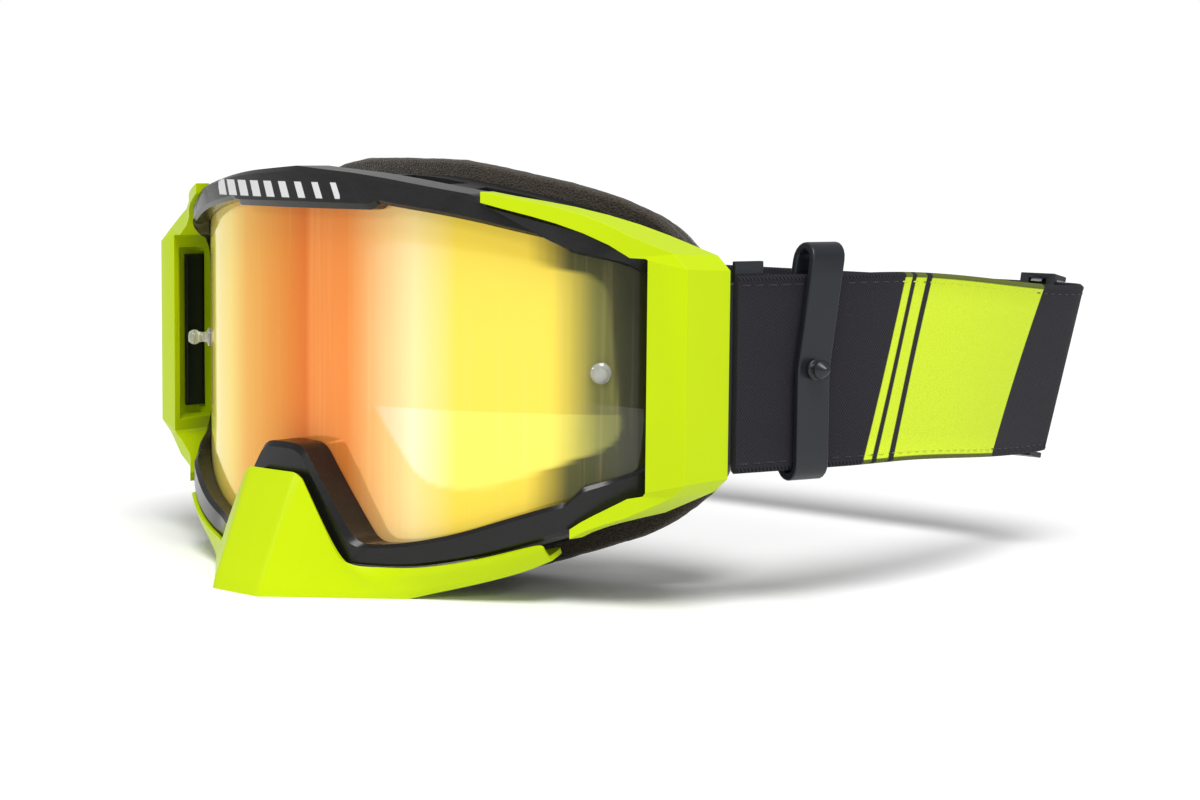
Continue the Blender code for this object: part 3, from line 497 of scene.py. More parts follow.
def rim_finish(settings):
    """Glossy moulded plastic with a faint skin, hairline scuffs and grey bars on the brow."""
    made = Finish("rim_gloss", settings.rim, {
        "Roughness": 0.2, "Coat Weight": 0.06, "Coat Roughness": 0.08, "Specular IOR Level": 0.28})
    across, _, height = made.place()
    cloud = made.noise(55.0, 2.0)
    scuff = made.noise(900.0, 4.0, (1.0, 1.0, 8.0)).over(0.66, 0.05)
    made.feed("Roughness", 0.17 + cloud * 0.1 + scuff * 0.12)
    slant = across + height * BAR_SLANT
    bars = (slant / (BAR_PITCH * MM)).maths("FRACT")
    width = 0.86 - slant.over(0.012, 0.045) * 0.62
    (right, left), (low, high) = BAR_FIELD
    field = across.within(right * MM, left * MM, 0.1 * MM) * height.within(low * MM, high * MM, 0.12 * MM)
    mask = (1.0 - (bars - width).over(0.0, 0.012)) * bars.over(0.04, 0.012) * field
    base = made.tint(settings.rim, darker(settings.rim, 1.9), cloud)
    made.feed("Base Color", made.tint(base, settings.print_grey, mask))
    made.bump(made.noise(420.0, 2.0) + mask * 0.6, 0.00006, 0.5)
    return made.material


def satin_finish(name, base, roughness, grain):
    """Spark-eroded satin plastic: an even fine grain with slow shifts in sheen."""
    made = Finish(name, base, {"Roughness": roughness, "Specular IOR Level": 0.38})
    cloud = made.noise(38.0, 3.0)
    fine = made.noise(grain, 2.0)
    made.feed("Roughness", (roughness - 0.06) + cloud * 0.12)
    made.feed("Base Color", made.tint(darker(base, 0.82), darker(base, 1.35), fine * 0.5 + cloud * 0.5))
    made.bump(fine, 0.00005, 0.45)
    return made.material


def neon_finish(settings):
    """Fluorescent plastic: it glows a little, so its shaded faces stay green."""
    made = Finish("neon_plastic", settings.neon, {
        "Roughness": 0.36, "Specular IOR Level": 0.14, "Emission Strength": 0.05})
    cloud = made.noise(30.0, 2.0)
    fine = made.noise(1500.0, 2.0)
    base = made.tint(darker(settings.neon, 0.93), darker(settings.neon, 1.03), cloud)
    made.feed("Base Color", base)
    made.feed("Emission Color", made.tint(darker(settings.neon, 0.95), settings.neon, cloud))
    made.feed("Roughness", 0.29 + cloud * 0.1)
    made.bump(fine, 0.00003, 0.4)
    return made.material


# Tones of the mirror coating, and where they stand across the lens in mm
PALE = (0.97, 0.87, 0.30)
STRAW = (0.94, 0.76, 0.14)
GOLD = (0.92, 0.68, 0.11)
AMBER = (0.84, 0.42, 0.042)
ORANGE = (0.70, 0.16, 0.014)
CORAL = (0.81, 0.25, 0.046)
PEACH = (0.95, 0.76, 0.36)
LEMON = (0.91, 0.70, 0.084)
# OLIVE and SMOKE at the clear end are partly the lens's own smoke tint and partly painted shade of the goggles'
# dark inside seen through it.
OLIVE = (0.20, 0.20, 0.05)
SMOKE = (0.045, 0.05, 0.026)
# GLARE is the colour of a painted glare, not a coating tone.
GLARE = (0.96, 0.76, 0.30)
COAT_START = -80.0
COAT_END = 86.0
COAT_RIGHT = ((COAT_START, PALE), (-52.0, STRAW), (-40.0, GOLD), (-29.0, AMBER), (-1.0, ORANGE), (1.0, CORAL))
COAT_LEFT = ((14.0, CORAL), (34.0, PEACH), (45.0, LEMON))
FADE_RUN = 8.5

# The face frame's inner window as it is seen through the lens; outside it the lens colour carries painted shade
# of the frame, and below its sill a painted reflection
WINDOW_LINE = (
    (14.0, 27.0, 0.0), (26.0, 31.2, 6.0), (52.0, 29.2, 8.0), (75.9, 22.9, 4.5), (79.0, -17.2, 5.5),
    (50.0, -30.2, 9.0), (36.0, -28.6, 6.0), (22.4, -10.0, 0.0), (14.0, -10.0, 0.0),
)
WINDOW_SILL = -10.2


def coat_stops(painted_light, fade, shadow):
    """Stops of the coating: its left tones scaled by painted light, then a fade to smoke scaled by shadow; both
    scales are painted light, lighter for a painted reflection and darker for painted shade.
    """
    stops = list(COAT_RIGHT) + list(COAT_LEFT[:1])
    painted_lit_tones = [(place, tuple(min(1.0, part * more) for part, more in zip(tone, painted_light)))
              for place, tone in (*COAT_LEFT[1:], (fade, LEMON))]
    stops += painted_lit_tones + [(fade + FADE_RUN, darker(OLIVE, shadow)), (COAT_END, darker(SMOKE, shadow))]
    return [((place - COAT_START) / (COAT_END - COAT_START), tone) for place, tone in stops]


def lens_finish():
    """Mirror coating that shifts from gold through orange and peach to a clear smoke edge that is partly painted
    shade of the goggles' inside, with painted shade of the frame outside its window, a painted reflection below
    the window's sill and a faint painted glare.
    """
    made = Finish("lens_mirror", GOLD, {
        "Coat Weight": 0.1, "Coat Roughness": 0.03, "Specular IOR Level": 0.2})
    across, _, height = made.place()
    streak = made.noise(700.0, 2.0, (1.0, 1.0, 0.02))
    share = (across / MM + (streak - 0.5) * 1.4 - COAT_START) / (COAT_END - COAT_START)
    # Stops for the coat inside the frame's window, for a painted reflection that lightens it below the window's
    # sill, and for painted shade of the frame outside the window.
    plain, painted_reflection, painted_frame_shade = [
        made.node("ShaderNodeValToRGB", {"stops": coat_stops(painted_light, fade, shadow)}, {0: share})
        for painted_light, fade, shadow in (((1.0, 1.0, 1.0), 65.5, 1.0), ((1.02, 1.13, 1.5), 66.0, 1.45),
                                   ((0.98, 0.94, 0.78), 60.5, 0.42))]
    window = made.node("ShaderNodeAttribute", {"attribute_name": "window"}, output="Fac")
    # Painted shade outside the window, and a painted reflection inside it below the sill.
    sill = (1.0 - height.over(WINDOW_SILL * MM, 0.25 * MM)) * window
    shade = made.tint(made.tint(painted_frame_shade, plain, window), painted_reflection, sill)
    # A faint painted glare along the streaks.
    made.feed("Base Color", made.tint(shade, GLARE, streak.over(0.62, 0.1) * 0.06))
    clear = across.over(0.071, 0.009)
    made.feed("Metallic", 0.25 - clear * 0.2)
    made.feed("Alpha", 0.985 - clear * 0.16)
    made.feed("Roughness", 0.07 + made.noise(24.0, 3.0) * 0.06)
    return made.material


def signed_reach(outline, point):
    """Distance of a point inside a closed outline, negative outside it."""
    nearest = 1e9
    inside = False
    for near, far in zip(outline, outline[1:] + outline[:1]):
        edge = far - near
        share = min(1.0, max(0.0, (point - near).dot(edge) / max(edge.length_squared, 1e-9)))
        nearest = min(nearest, (near + edge * share - point).length)
        if (near.y > point.y) != (far.y > point.y):
            cross = near.x + (point.y - near.y) / (far.y - near.y) * edge.x
            inside = inside != (point.x < cross)
    return nearest if inside else -nearest


def clear_finish():
    """Clear moulded plastic of the tear-off pins."""
    made = Finish("pin_clear", (0.86, 0.87, 0.84), {
        "Roughness": 0.1, "IOR": 1.49, "Transmission Weight": 0.75, "Coat Weight": 0.4})
    made.feed("Roughness", 0.06 + made.noise(700.0) * 0.12)
    return made.material


def foam_finish(name, base, cell, sheen):
    """Open-cell foam: pores painted darker than the cell walls as painted shade, with a soft sheen."""
    made = Finish(name, base, {"Roughness": 0.96, "Sheen Weight": sheen, "Sheen Roughness": 0.4,
                               "Specular IOR Level": 0.2})
    fuzz = made.noise(cell, 5.0)
    cloud = made.noise(160.0, 3.0)
    pores = made.node("ShaderNodeTexVoronoi", {"feature": "DISTANCE_TO_EDGE"},
                      {"Vector": made.node("ShaderNodeTexCoord", output="Object"), "Scale": cell * 0.55})
    walls = 1.0 - pores.over(0.16, 0.14)
    # Painted shade in the pores; the cell walls and speckle stay lighter.
    shade = made.tint(darker(base, 0.45), darker(base, 2.3), fuzz.over(0.52, 0.2) * 0.55 + walls * 0.35)
    made.feed("Base Color", made.tint(shade, darker(base, 1.5), cloud * 0.3))
    made.feed("Roughness", 0.9 + cloud * 0.1)
    made.bump(fuzz * 0.7 + walls * 0.5, 0.00035, 0.9)
    return made.material


# Printed panel: its slant, and where its bars and its block start and end along the band in mm
PANEL_SLANT = 0.32
PANEL_BARS = ((46.2, 49.0), (50.8, 55.2), (57.5, 111.0))


PANEL_SPREAD = 2.2            # length along the band less depth, at the panel


def panel_mask(lean, start):
    """The printed panel: two slanted bars and a block, along a slanted distance."""
    narrow, wide, block = [
        lean.within((low + start) * MM, (high + start) * MM, 0.25 * MM) for low, high in PANEL_BARS]
    return narrow + wide + block


def thread_finish(settings, printed):
    """Polyester thread, tinted where the panel is printed over the outer rows."""
    made = Finish("thread_printed" if printed else "thread_plain", settings.webbing, {
        "Roughness": 0.7, "Sheen Weight": 0.1, "Specular IOR Level": 0.2})
    _, depth, height = made.place()
    twist = (depth * 0.7 + height).wave(0.5 * MM) * 0.5 + 0.5
    yarn = made.tint(darker(settings.webbing, 0.9), darker(settings.webbing, 2.4), twist)
    if printed:
        lean = depth - height * PANEL_SLANT
        ink = panel_mask(lean, STRAP_START[1] - FACE_Y - PANEL_SPREAD)
        yarn = made.tint(yarn, made.tint(darker(settings.panel, 0.7), settings.panel, twist), ink)
    made.feed("Base Color", yarn)
    made.feed("Roughness", 0.6 + twist * 0.2)
    return made.material


def webbing_finish(name, settings, panel):
    """Woven elastic: rib rows on the piece's own UV metres, bound edges and a printed panel."""
    made = Finish(name, settings.webbing, {"Roughness": 0.88, "Sheen Weight": 0.04, "Sheen Roughness": 0.5,
                                           "Specular IOR Level": 0.12})
    uv = made.node("ShaderNodeUVMap", {"uv_map": "band"})
    along = made.node("ShaderNodeSeparateXYZ", None, {0: uv}, 0)
    across = made.node("ShaderNodeSeparateXYZ", None, {0: uv}, 1)
    pitch = settings.yarn * MM
    wander = (made.noise(600.0, 3.0, spot=uv) - 0.5) * 0.0004
    rows = (along + wander).wave(pitch) * (across + wander).wave(pitch * 1.3)
    speck = made.noise(2600.0, 3.0, spot=uv)
    weave = rows * 0.35 + 0.5 + (speck - 0.5) * 0.9
    half = STRAP_WIDTH / 2.0 * MM
    bound = across.maths("ABSOLUTE").over(half - 1.3 * MM, 0.15 * MM)
    loops = (along + across * 0.6).wave(1.1 * MM) * 0.5 + 0.5
    yarn = made.tint(darker(settings.webbing, 0.42), darker(settings.webbing, 1.9), weave)
    yarn = made.tint(yarn, made.tint(darker(settings.webbing, 0.25), darker(settings.webbing, 1.6), loops), bound)
    if panel:
        lean = along - across * PANEL_SLANT
        ink = panel_mask(lean, 0.0) * (1.0 - bound * 0.85)
        printed = made.tint(darker(settings.panel, 0.86), settings.panel, weave.over(0.35, 0.25))
        yarn = made.tint(yarn, printed, ink)
    made.feed("Base Color", yarn)
    made.feed("Roughness", 0.82 + speck * 0.16)
    made.bump(weave * (1.0 - bound) + loops * bound, 0.00016, 0.7)
    return made.material


def floor_finish():
    """Plain pale floor."""
    made = Finish("floor_pale", (0.9, 0.9, 0.9), {"Roughness": 0.6})
    made.feed("Base Color", made.tint((0.93, 0.93, 0.93), (0.95, 0.95, 0.95), made.noise(3.0)))
    return made.material


def stocked(name, maker, *inputs):
    """The material of this name, made when it is first asked for."""
    return bpy.data.materials.get(name) or maker(*inputs)


# ---------------------------------------------------------------- rim, lens and pins

LIP_SHARES = (0.16, 0.88)


def build_rim(settings):
    """Rim round the lens, with a chamfered lip and a chamfered outer edge."""
    half = []
    for gap, seat, edge in zip(OPENING, SEAT, RIM_EDGE_LINE):
        lip_in, lip_out = [gap.lerp(edge, share) for share in LIP_SHARES]
        half.append([
            (gap.x, arc_y(LENS_RADIUS + LENS_GAP, gap.x), gap.y),
            (gap.x, rim_front_y(gap.x, gap.y) + RIM_EDGE, gap.y),
            (lip_in.x, rim_front_y(lip_in.x, lip_in.y), lip_in.y),
            (lip_out.x, rim_front_y(lip_out.x, lip_out.y), lip_out.y),
            (edge.x, rim_front_y(edge.x, edge.y) + RIM_EDGE, edge.y),
            (edge.x, rim_back_y(edge.x), edge.y),
            (seat.x, rim_back_y(seat.x), seat.y),
            (seat.x, arc_y(LENS_RADIUS + LENS_GAP, seat.x), seat.y),
        ])
    rim = lofted("rim_moulding", mirrored_loop(half), rim_finish(settings), closed=True, angle=18.0)
    round_edges(rim, 0.42, 3, 20.0)
    finish_piece(rim, "frame", "rim", "outer_frame")


LENS_COLUMNS = 110
LENS_ROWS = 60
LENS_END_TRIM = 0.2


def build_lens():
    """Cylindrical lens whose edge runs under the rim, marked where the frame's window shows, for the painted
    shade of the frame around it.
    """
    edge = grow(SEAT, -LENS_GAP)
    widest = max(point.x for point in edge) - LENS_END_TRIM
    half = []
    for step in range(LENS_COLUMNS + 1):
        x = widest * step / LENS_COLUMNS
        top = height_on(edge, x, True)
        low = height_on(edge, x, False)
        front = arc_y(LENS_RADIUS, x)
        back = arc_y(LENS_RADIUS - LENS_THICKNESS, x)
        section = [(x, front, mix(top, low, row / LENS_ROWS)) for row in range(LENS_ROWS + 1)]
        half.append([*section, (x, back, low), (x, back, top)])
    other = [[(-x, y, z) for x, y, z in section] for section in reversed(half[1:])]
    lens = lofted("lens_pane", other + half, lens_finish())
    window = lens.data.attributes.new("window", "FLOAT", "POINT")
    outline = rounded(WINDOW_LINE, (1,) * (len(WINDOW_LINE) - 1))
    for vert, mark in zip(lens.data.vertices, window.data):
        spot = Vector((vert.co.x, vert.co.z)) / MM
        if 12.0 < spot.x < 82.0:
            mark.value = ease(signed_reach(outline, spot), -0.6, 0.6) * ease(spot.x, 14.0, 25.0)
    finish_piece(lens, "frame", "lens", "lens")


PIN_PROFILE = (
    (0.0, 6.2), (0.7, 6.2), (1.2, 6.15), (1.5, 5.95), (2.0, 5.2), (2.1, 4.9), (2.1, 4.3), (1.95, 3.9),
    (1.5, 3.3), (1.42, 2.6), (1.45, 1.6), (1.7, 1.1), (2.5, 0.8), (2.62, 0.6), (2.62, 0.0), (0.0, 0.0),
)


def build_pins():
    """Clear tear-off pins, square to the lens."""
    finish = clear_finish()
    for side, word in ((1, "left"), (-1, "right")):
        across = math.asin(PIN_HALF_SPACING / LENS_RADIUS)
        out = Vector((side * math.sin(across), -math.cos(across), 0.0))
        base = Vector((0.0, LENS_CENTRE_Y, 0.0)) + out * (LENS_RADIUS + LENS_GAP)
        pin = turned(f"pin_{word}", PIN_PROFILE, base, out, finish)
        finish_piece(pin, "frame", "pin", f"tear_off_pin_{word}")


# ---------------------------------------------------------------- face frame and foam

def build_face_frame(settings):
    """Vented frame between the rim and the foam."""
    finish = satin_finish("frame_satin", settings.frame, 0.42, 2200.0)
    moulding = moulded_copy("face_frame_moulding", "face_frame", finish, settings.edge * 0.8)
    finish_piece(moulding, "frame", "frame")


FOAM_CORNER = 1.1
FOAM_CROWN = 0.25


def foam_section(out, land, front, back):
    """Section of a foam ring: a rectangle with rounded corners and slightly crowned sides."""
    corner = FOAM_CORNER
    crown = FOAM_CROWN
    across = (land - out).normalized()
    width = (land - out).length
    depth = back - front
    spots = [
        (corner * 0.3, corner * 0.3), (0.0, corner), (-crown, depth / 2.0), (0.0, depth - corner),
        (corner * 0.3, depth - corner * 0.3), (corner, depth), (width / 2.0, depth + crown * 0.5),
        (width - corner, depth), (width - corner * 0.3, depth - corner * 0.3), (width, depth - corner),
        (width + crown, depth / 2.0), (width, corner), (width - corner * 0.3, corner * 0.3),
        (width - corner, 0.0), (corner, 0.0),
    ]
    points = []
    for reach, rise in spots:
        spot = out + across * reach
        points.append((spot.x, front + rise, spot.y))
    return points


def foam_ring(name, node, outline, rise, thickness, width, finish, slot):
    """One ring of face foam on the flange's curve."""
    inner = grow(outline, -width)
    half = []
    for out, land in zip(outline, inner):
        front = face_y(out.x) + rise
        half.append(foam_section(out, land, front, front + thickness))
    half[0] = [(0.0, y, z) for _, y, z in half[0]]
    half[-1] = [(0.0, y, z) for _, y, z in half[-1]]
    ring = lofted(name, mirrored_loop(half), finish, closed=True, angle=70.0)
    for vert in ring.data.vertices:
        lump = noise.noise(vert.co * 700.0) * 0.16 + noise.noise(vert.co * 190.0) * 0.14
        vert.co += vert.normal * lump * MM
    finish_piece(ring, "frame", slot, node)


def build_foam(settings):
    """Three bonded rings, each a little smaller than the one in front of it."""
    grey = stocked("foam_open_cell", foam_finish, "foam_open_cell", settings.foam, 2400.0, 0.25)
    fleece = foam_finish("fleece_facing", darker(settings.foam, 0.42), 5200.0, 0.8)
    rise = FOAM_GAP
    words = ("base", "middle", "face")
    for number, (word, thickness) in enumerate(zip(words, FOAM_LAYERS)):
        outline = grow(FACE_EDGE_LINE, -FOAM_TAPER * number)
        last = word == words[-1]
        foam_ring(f"foam_ring_{word}", f"foam_{word}", outline, rise, thickness,
                  FOAM_WIDTH - FOAM_TAPER * number, fleece if last else grey, "fleece" if last else "foam")
        rise += thickness + FOAM_GAP


def build_vent_foam(settings):
    """Filter foam behind the vents."""
    finish = stocked("foam_open_cell", foam_finish, "foam_open_cell", settings.foam, 2400.0, 0.25)
    for word in ("top", "left", "right"):
        strip = moulded_copy(f"vent_filter_{word}", f"vent_foam_{word}", finish, 0.35)
        finish_piece(strip, "frame", "foam")


# ---------------------------------------------------------------- outriggers and nose guard

def build_outriggers(settings):
    """Boxed outriggers beside the rim, hollow towards it."""
    finish = stocked("neon_plastic", neon_finish, settings)
    for word in ("left", "right"):
        moulding = moulded_copy(f"outrigger_moulding_{word}", f"outrigger_{word}", finish, settings.edge)
        finish_piece(moulding, "frame", "neon")


GUARD_GAP = 0.4
GUARD_HALF_WIDTH = 8.9
GUARD_TOP_Z = -27.5
GUARD_FRONT_Y = -51.8
GUARD_BOTTOM_Z = -57.0
GUARD_SEAM = 0.6
WING_STATIONS = (
    (25.0, 34.0, -0.6, -56.2), (29.5, 39.0, 1.4, -54.8), (38.0, 46.0, 2.4, -52.9),
    (50.0, 54.5, 3.0, -50.4), (60.0, 62.4, 3.4, -47.5), (67.5, 67.0, 3.6, -44.9),
)
WING_TUCK = 0.4
WING_DEPTH = 7.5
WING_REAR_GAP = 2.1


def guard_top(x, z):
    """A point of the guard's upper edge, which lies on the rim's front."""
    return (x, rim_front_y(x, z) - GUARD_GAP - GUARD_WALL, z)


def guard_rows():
    """Left half rows of the guard: top edge, middle, bottom front edge and underside's rear."""
    floor = GUARD_BOTTOM_Z
    nose = [
        [guard_top(0.0, GUARD_TOP_Z), (0.0, GUARD_FRONT_Y - 0.2, floor), (0.0, -37.0, floor)],
        [guard_top(GUARD_HALF_WIDTH * 0.92, GUARD_TOP_Z), (GUARD_HALF_WIDTH * 0.94, GUARD_FRONT_Y, floor),
         (7.4, -36.8, floor)],
        [guard_top(GUARD_HALF_WIDTH + 1.2, GUARD_TOP_Z - 1.1),
         (GUARD_HALF_WIDTH + 1.0, GUARD_FRONT_Y + 1.4, floor), (8.6, -36.6, floor)],
        [guard_top(15.2, -36.5), (18.5, -43.0, floor), (14.0, -34.0, floor)],
        [guard_top(21.4, -46.4), (28.0, -35.0, floor), (23.0, -27.6, floor)],
    ]
    rows = [[upper, tuple(Vector(upper).lerp(Vector(lower), 0.5)), lower, back]
            for upper, lower, back in nose]
    for number, (upper_x, lower_x, setback, z) in enumerate(WING_STATIONS):
        edge = height_on(RIM_EDGE_LINE, upper_x, False)
        upper = guard_top(upper_x, edge - GUARD_SEAM * 1.5)
        if number:
            upper = (upper_x, rim_front_y(upper_x, edge) + WING_TUCK, edge - GUARD_SEAM)
        lower = (lower_x, rim_front_y(lower_x, z) + setback, z)
        middle = (mix(upper_x, lower_x, 0.35), mix(upper[1], lower[1], 0.2), mix(upper[2], z, 0.4))
        back_z = height_on(RIM_EDGE_LINE, lower_x, False) - WING_REAR_GAP
        rows.append([upper, middle, lower, (lower_x - 1.5, lower[1] + WING_DEPTH, max(back_z, z))])
    return rows


def build_nose_guard(settings):
    """Guard over the nose and along the rim's lower edge: a creased skin with a wall inwards."""
    rows = guard_rows()
    rows = [[(-x, y, z) for x, y, z in row] for row in reversed(rows[1:])] + rows
    shape = bmesh.new()
    crease = shape.edges.layers.float.new("crease_edge")
    grid = [[shape.verts.new(point) for point in row] for row in rows]
    for near, far in zip(grid, grid[1:]):
        for low in range(len(near) - 1):
            shape.faces.new((near[low], far[low], far[low + 1], near[low + 1]))
    if grid[len(grid) // 2][1].link_faces[0].normal.y > 0.0:
        bmesh.ops.reverse_faces(shape, faces=shape.faces)
    middle = len(grid) // 2
    ridges = [grid[middle + shift] for shift in (-2, -1, 1, 2)]
    for ridge in ridges:
        for near, far in zip(ridge, ridge[1:]):
            shape.edges.get((near, far))[crease] = 0.85
    for near, far in zip(grid, grid[1:]):
        shape.edges.get((near[2], far[2]))[crease] = 0.8
        shape.edges.get((near[0], far[0]))[crease] = 0.9
        shape.edges.get((near[3], far[3]))[crease] = 0.9
    to_frame(shape)
    guard = piece("nose_guard_moulding", shape, stocked("neon_plastic", neon_finish, settings), 180.0)
    smooth = guard.modifiers.new("smooth", "SUBSURF")
    smooth.levels = 3
    smooth.render_levels = 3
    wall = guard.modifiers.new("wall", "SOLIDIFY")
    wall.thickness = GUARD_WALL * MM
    wall.offset = -1.0
    wall.use_even_offset = True
    plain_mesh(guard)
    guard.data.set_sharp_from_angle(angle=math.radians(38.0))
    round_edges(guard, 0.3, 3, 50.0)
    finish_piece(guard, "nose_guard", "neon", "nose_guard")


# ---------------------------------------------------------------- strap

BAND_PATH = rounded(
    ((*STRAP_START, 0.0), (*STRAP_SPREAD, 12.0), (*STRAP_TURN_IN, 16.0), (*STRAP_CORNER, 6.0),
     (0.0, STRAP_CORNER[1] + 0.01, 0.0)),
    (14, 14, 16, 40), 8,
)


def band_frame(index):
    """Centre, outward normal and upward direction of the band at a point of its path."""
    point = BAND_PATH[index]
    before = BAND_PATH[max(0, index - 1)]
    after = BAND_PATH[min(len(BAND_PATH) - 1, index + 1)]
    along = (after - before).normalized()
    turn = ease(point.y, STRAP_SPREAD[1], STRAP_CORNER[1])
    lean = STRAP_LEAN * turn
    out = Vector((along.y, -along.x, 0.0))
    up = Vector((0.0, 0.0, math.cos(lean))) + out * math.sin(lean)
    normal = out * math.cos(lean) - Vector((0.0, 0.0, math.sin(lean)))
    return Vector((point.x, point.y, STRAP_FRONT_Z - STRAP_DROP * turn)), normal, up


def band_lengths():
    """Distance along the band at each point of its path."""
    lengths = [0.0]
    for near, far in zip(BAND_PATH, BAND_PATH[1:]):
        lengths.append(lengths[-1] + (far - near).length)
    return lengths


BAND_SELVEDGE = 1.4
BAND_CORD = 0.12
STITCH_INSET = 2.4
STITCH_RADIUS = 0.17


def band_outline():
    """The band's section as (across, out, inner) points: flat faces with corded edges."""
    half = STRAP_WIDTH / 2.0
    flat = half - BAND_SELVEDGE
    spans = 8
    thick = STRAP_THICKNESS / 2.0
    cord = thick + BAND_CORD
    points = [(mix(flat, -flat, step / spans), thick, False) for step in range(spans + 1)]
    edge = [(flat + 0.25, cord), (flat + 0.85, cord * 0.86), (half, 0.0), (flat + 0.85, -cord * 0.86),
            (flat + 0.25, -cord)]
    points += [(-across, out, out < 0.0) for across, out in edge]
    points += [(mix(-flat, flat, step / spans), -thick, True) for step in range(spans + 1)]
    points += [(across, out, out < 0.0) for across, out in reversed(edge)]
    return points


def build_band(side, word, settings):
    """Half of the elastic band, from its clip to the middle of its back run."""
    outline = band_outline()
    lengths = band_lengths()
    shape = bmesh.new()
    uv = shape.loops.layers.uv.new("band")
    rings = []
    for index, length in enumerate(lengths):
        centre, normal, up = band_frame(index)
        ring = []
        for across, out, _ in outline:
            spot = centre + up * across + normal * out
            ring.append((shape.verts.new((spot.x * side, spot.y, spot.z)), length * MM, across * MM))
        rings.append(ring)
    for near, far in zip(rings, rings[1:]):
        for number, (_, _, inner) in enumerate(outline):
            after = (number + 1) % len(outline)
            corners = (near[number], near[after], far[after], far[number])
            face = shape.faces.new([vert for vert, _, _ in corners])
            face.material_index = 1 if inner and outline[after][2] else 0
            for loop, (_, u, v) in zip(face.loops, corners):
                loop[uv].uv = (u, v)
    for ring in (rings[0], rings[-1]):
        shape.faces.new([vert for vert, _, _ in ring])
    bmesh.ops.recalc_face_normals(shape, faces=shape.faces)
    to_frame(shape)
    band = piece(f"band_{word}", shape, stocked("webbing_printed", webbing_finish, "webbing_printed",
                                                settings, True), 50.0)
    band.data.materials.append(stocked("webbing_plain", webbing_finish, "webbing_plain", settings, False))
    return band


def stitch_tree():
    """Geometry nodes that set evenly spaced stitches along a line."""
    tree = bpy.data.node_groups.new("stitch_row", "GeometryNodeTree")
    for label, kind, low in (("Geometry", "NodeSocketGeometry", None), ("Pitch", "NodeSocketFloat", 0.004),
                             ("Length", "NodeSocketFloat", 0.0026), ("Radius", "NodeSocketFloat", 0.0003),
                             ("Thread", "NodeSocketMaterial", None)):
        socket = tree.interface.new_socket(name=label, in_out="INPUT", socket_type=kind)
        if low is not None:
            socket.default_value = low
    tree.interface.new_socket(name="Geometry", in_out="OUTPUT", socket_type="NodeSocketGeometry")

    def add(kind, links, **settings):
        made = tree.nodes.new(kind)
        for label, value in settings.items():
            setattr(made, label, value)
        for socket, source in links.items():
            if isinstance(source, bpy.types.NodeSocket):
                tree.links.new(source, made.inputs[socket])
            else:
                made.inputs[socket].default_value = source
        return made

    given = add("NodeGroupInput", {})
    line = add("GeometryNodeMeshToCurve", {"Mesh": given.outputs["Geometry"]})
    spaced = add("GeometryNodeResampleCurve", {"Curve": line.outputs[0], "Length": given.outputs["Pitch"]},
                 mode="LENGTH")
    thread = add("GeometryNodeMeshUVSphere", {"Segments": 6, "Rings": 5, "Radius": 1.0})
    half = add("ShaderNodeMath", {0: given.outputs["Length"], 1: 0.5}, operation="MULTIPLY")
    shape = add("ShaderNodeCombineXYZ", {0: half.outputs[0], 1: given.outputs["Radius"],
                                         2: given.outputs["Radius"]})
    tangent = add("GeometryNodeInputTangent", {})
    turn = add("FunctionNodeAlignRotationToVector", {"Vector": tangent.outputs[0]}, axis="X")
    wobble = add("FunctionNodeRandomValue", {2: 0.88, 3: 1.1, "Seed": 11}, data_type="FLOAT")
    scale = add("ShaderNodeVectorMath", {0: shape.outputs[0], "Scale": wobble.outputs[1]}, operation="SCALE")
    placed = add("GeometryNodeInstanceOnPoints", {
        "Points": spaced.outputs[0], "Instance": thread.outputs[0], "Rotation": turn.outputs[0],
        "Scale": scale.outputs[0]})
    solid = add("GeometryNodeRealizeInstances", {0: placed.outputs[0]})
    coloured = add("GeometryNodeSetMaterial", {"Geometry": solid.outputs[0], "Material": given.outputs["Thread"]})
    add("NodeGroupOutput", {0: coloured.outputs[0]})
    return tree


def stitch_row(name, lines, pitch, length, radius, thread):
    """Stitches along lines of points in design millimetres, as one plain mesh."""
    shape = bmesh.new()
    for line in lines:
        verts = [shape.verts.new(point) for point in line]
        for near, far in zip(verts, verts[1:]):
            shape.edges.new((near, far))
    to_frame(shape)
    row = piece(name, shape, thread)
    step = row.modifiers.new("stitches", "NODES")
    step.node_group = bpy.data.node_groups.get("stitch_row") or stitch_tree()
    values = {"Pitch": pitch * MM, "Length": length * MM, "Radius": radius * MM, "Thread": thread}
    for item in step.node_group.interface.items_tree:
        if item.in_out == "INPUT" and item.name in values:
            step[item.identifier] = values[item.name]
    plain_mesh(row)
    row.data.shade_smooth()
    return row


def build_strap(settings):
    """Both halves of the band, with a row of stitches along each edge on each face."""
    for side, word in ((1, "left"), (-1, "right")):
        band = build_band(side, word, settings)
        riding = [band]
        for out, face in ((STRAP_THICKNESS / 2.0, "outer"), (-STRAP_THICKNESS / 2.0, "inner")):
            lines = []
            for across in (STRAP_WIDTH / 2.0 - STITCH_INSET, STITCH_INSET - STRAP_WIDTH / 2.0):
                line = []
                for index in range(1, len(BAND_PATH)):
                    centre, normal, up = band_frame(index)
                    spot = centre + up * across + normal * out
                    line.append((spot.x * side, spot.y, spot.z))
                lines.append(line)
            printed = face == "outer"
            thread = stocked("thread_printed" if printed else "thread_plain", thread_finish, settings, printed)
            riding.append(stitch_row(f"band_stitches_{face}_{word}", lines, settings.stitch * 1.5,
                                     settings.stitch, STITCH_RADIUS, thread))
        for made in riding:
            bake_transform(made)
        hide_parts(f"strap_{word}", "strap_back")


# ---------------------------------------------------------------- clips, keeper and adjusters

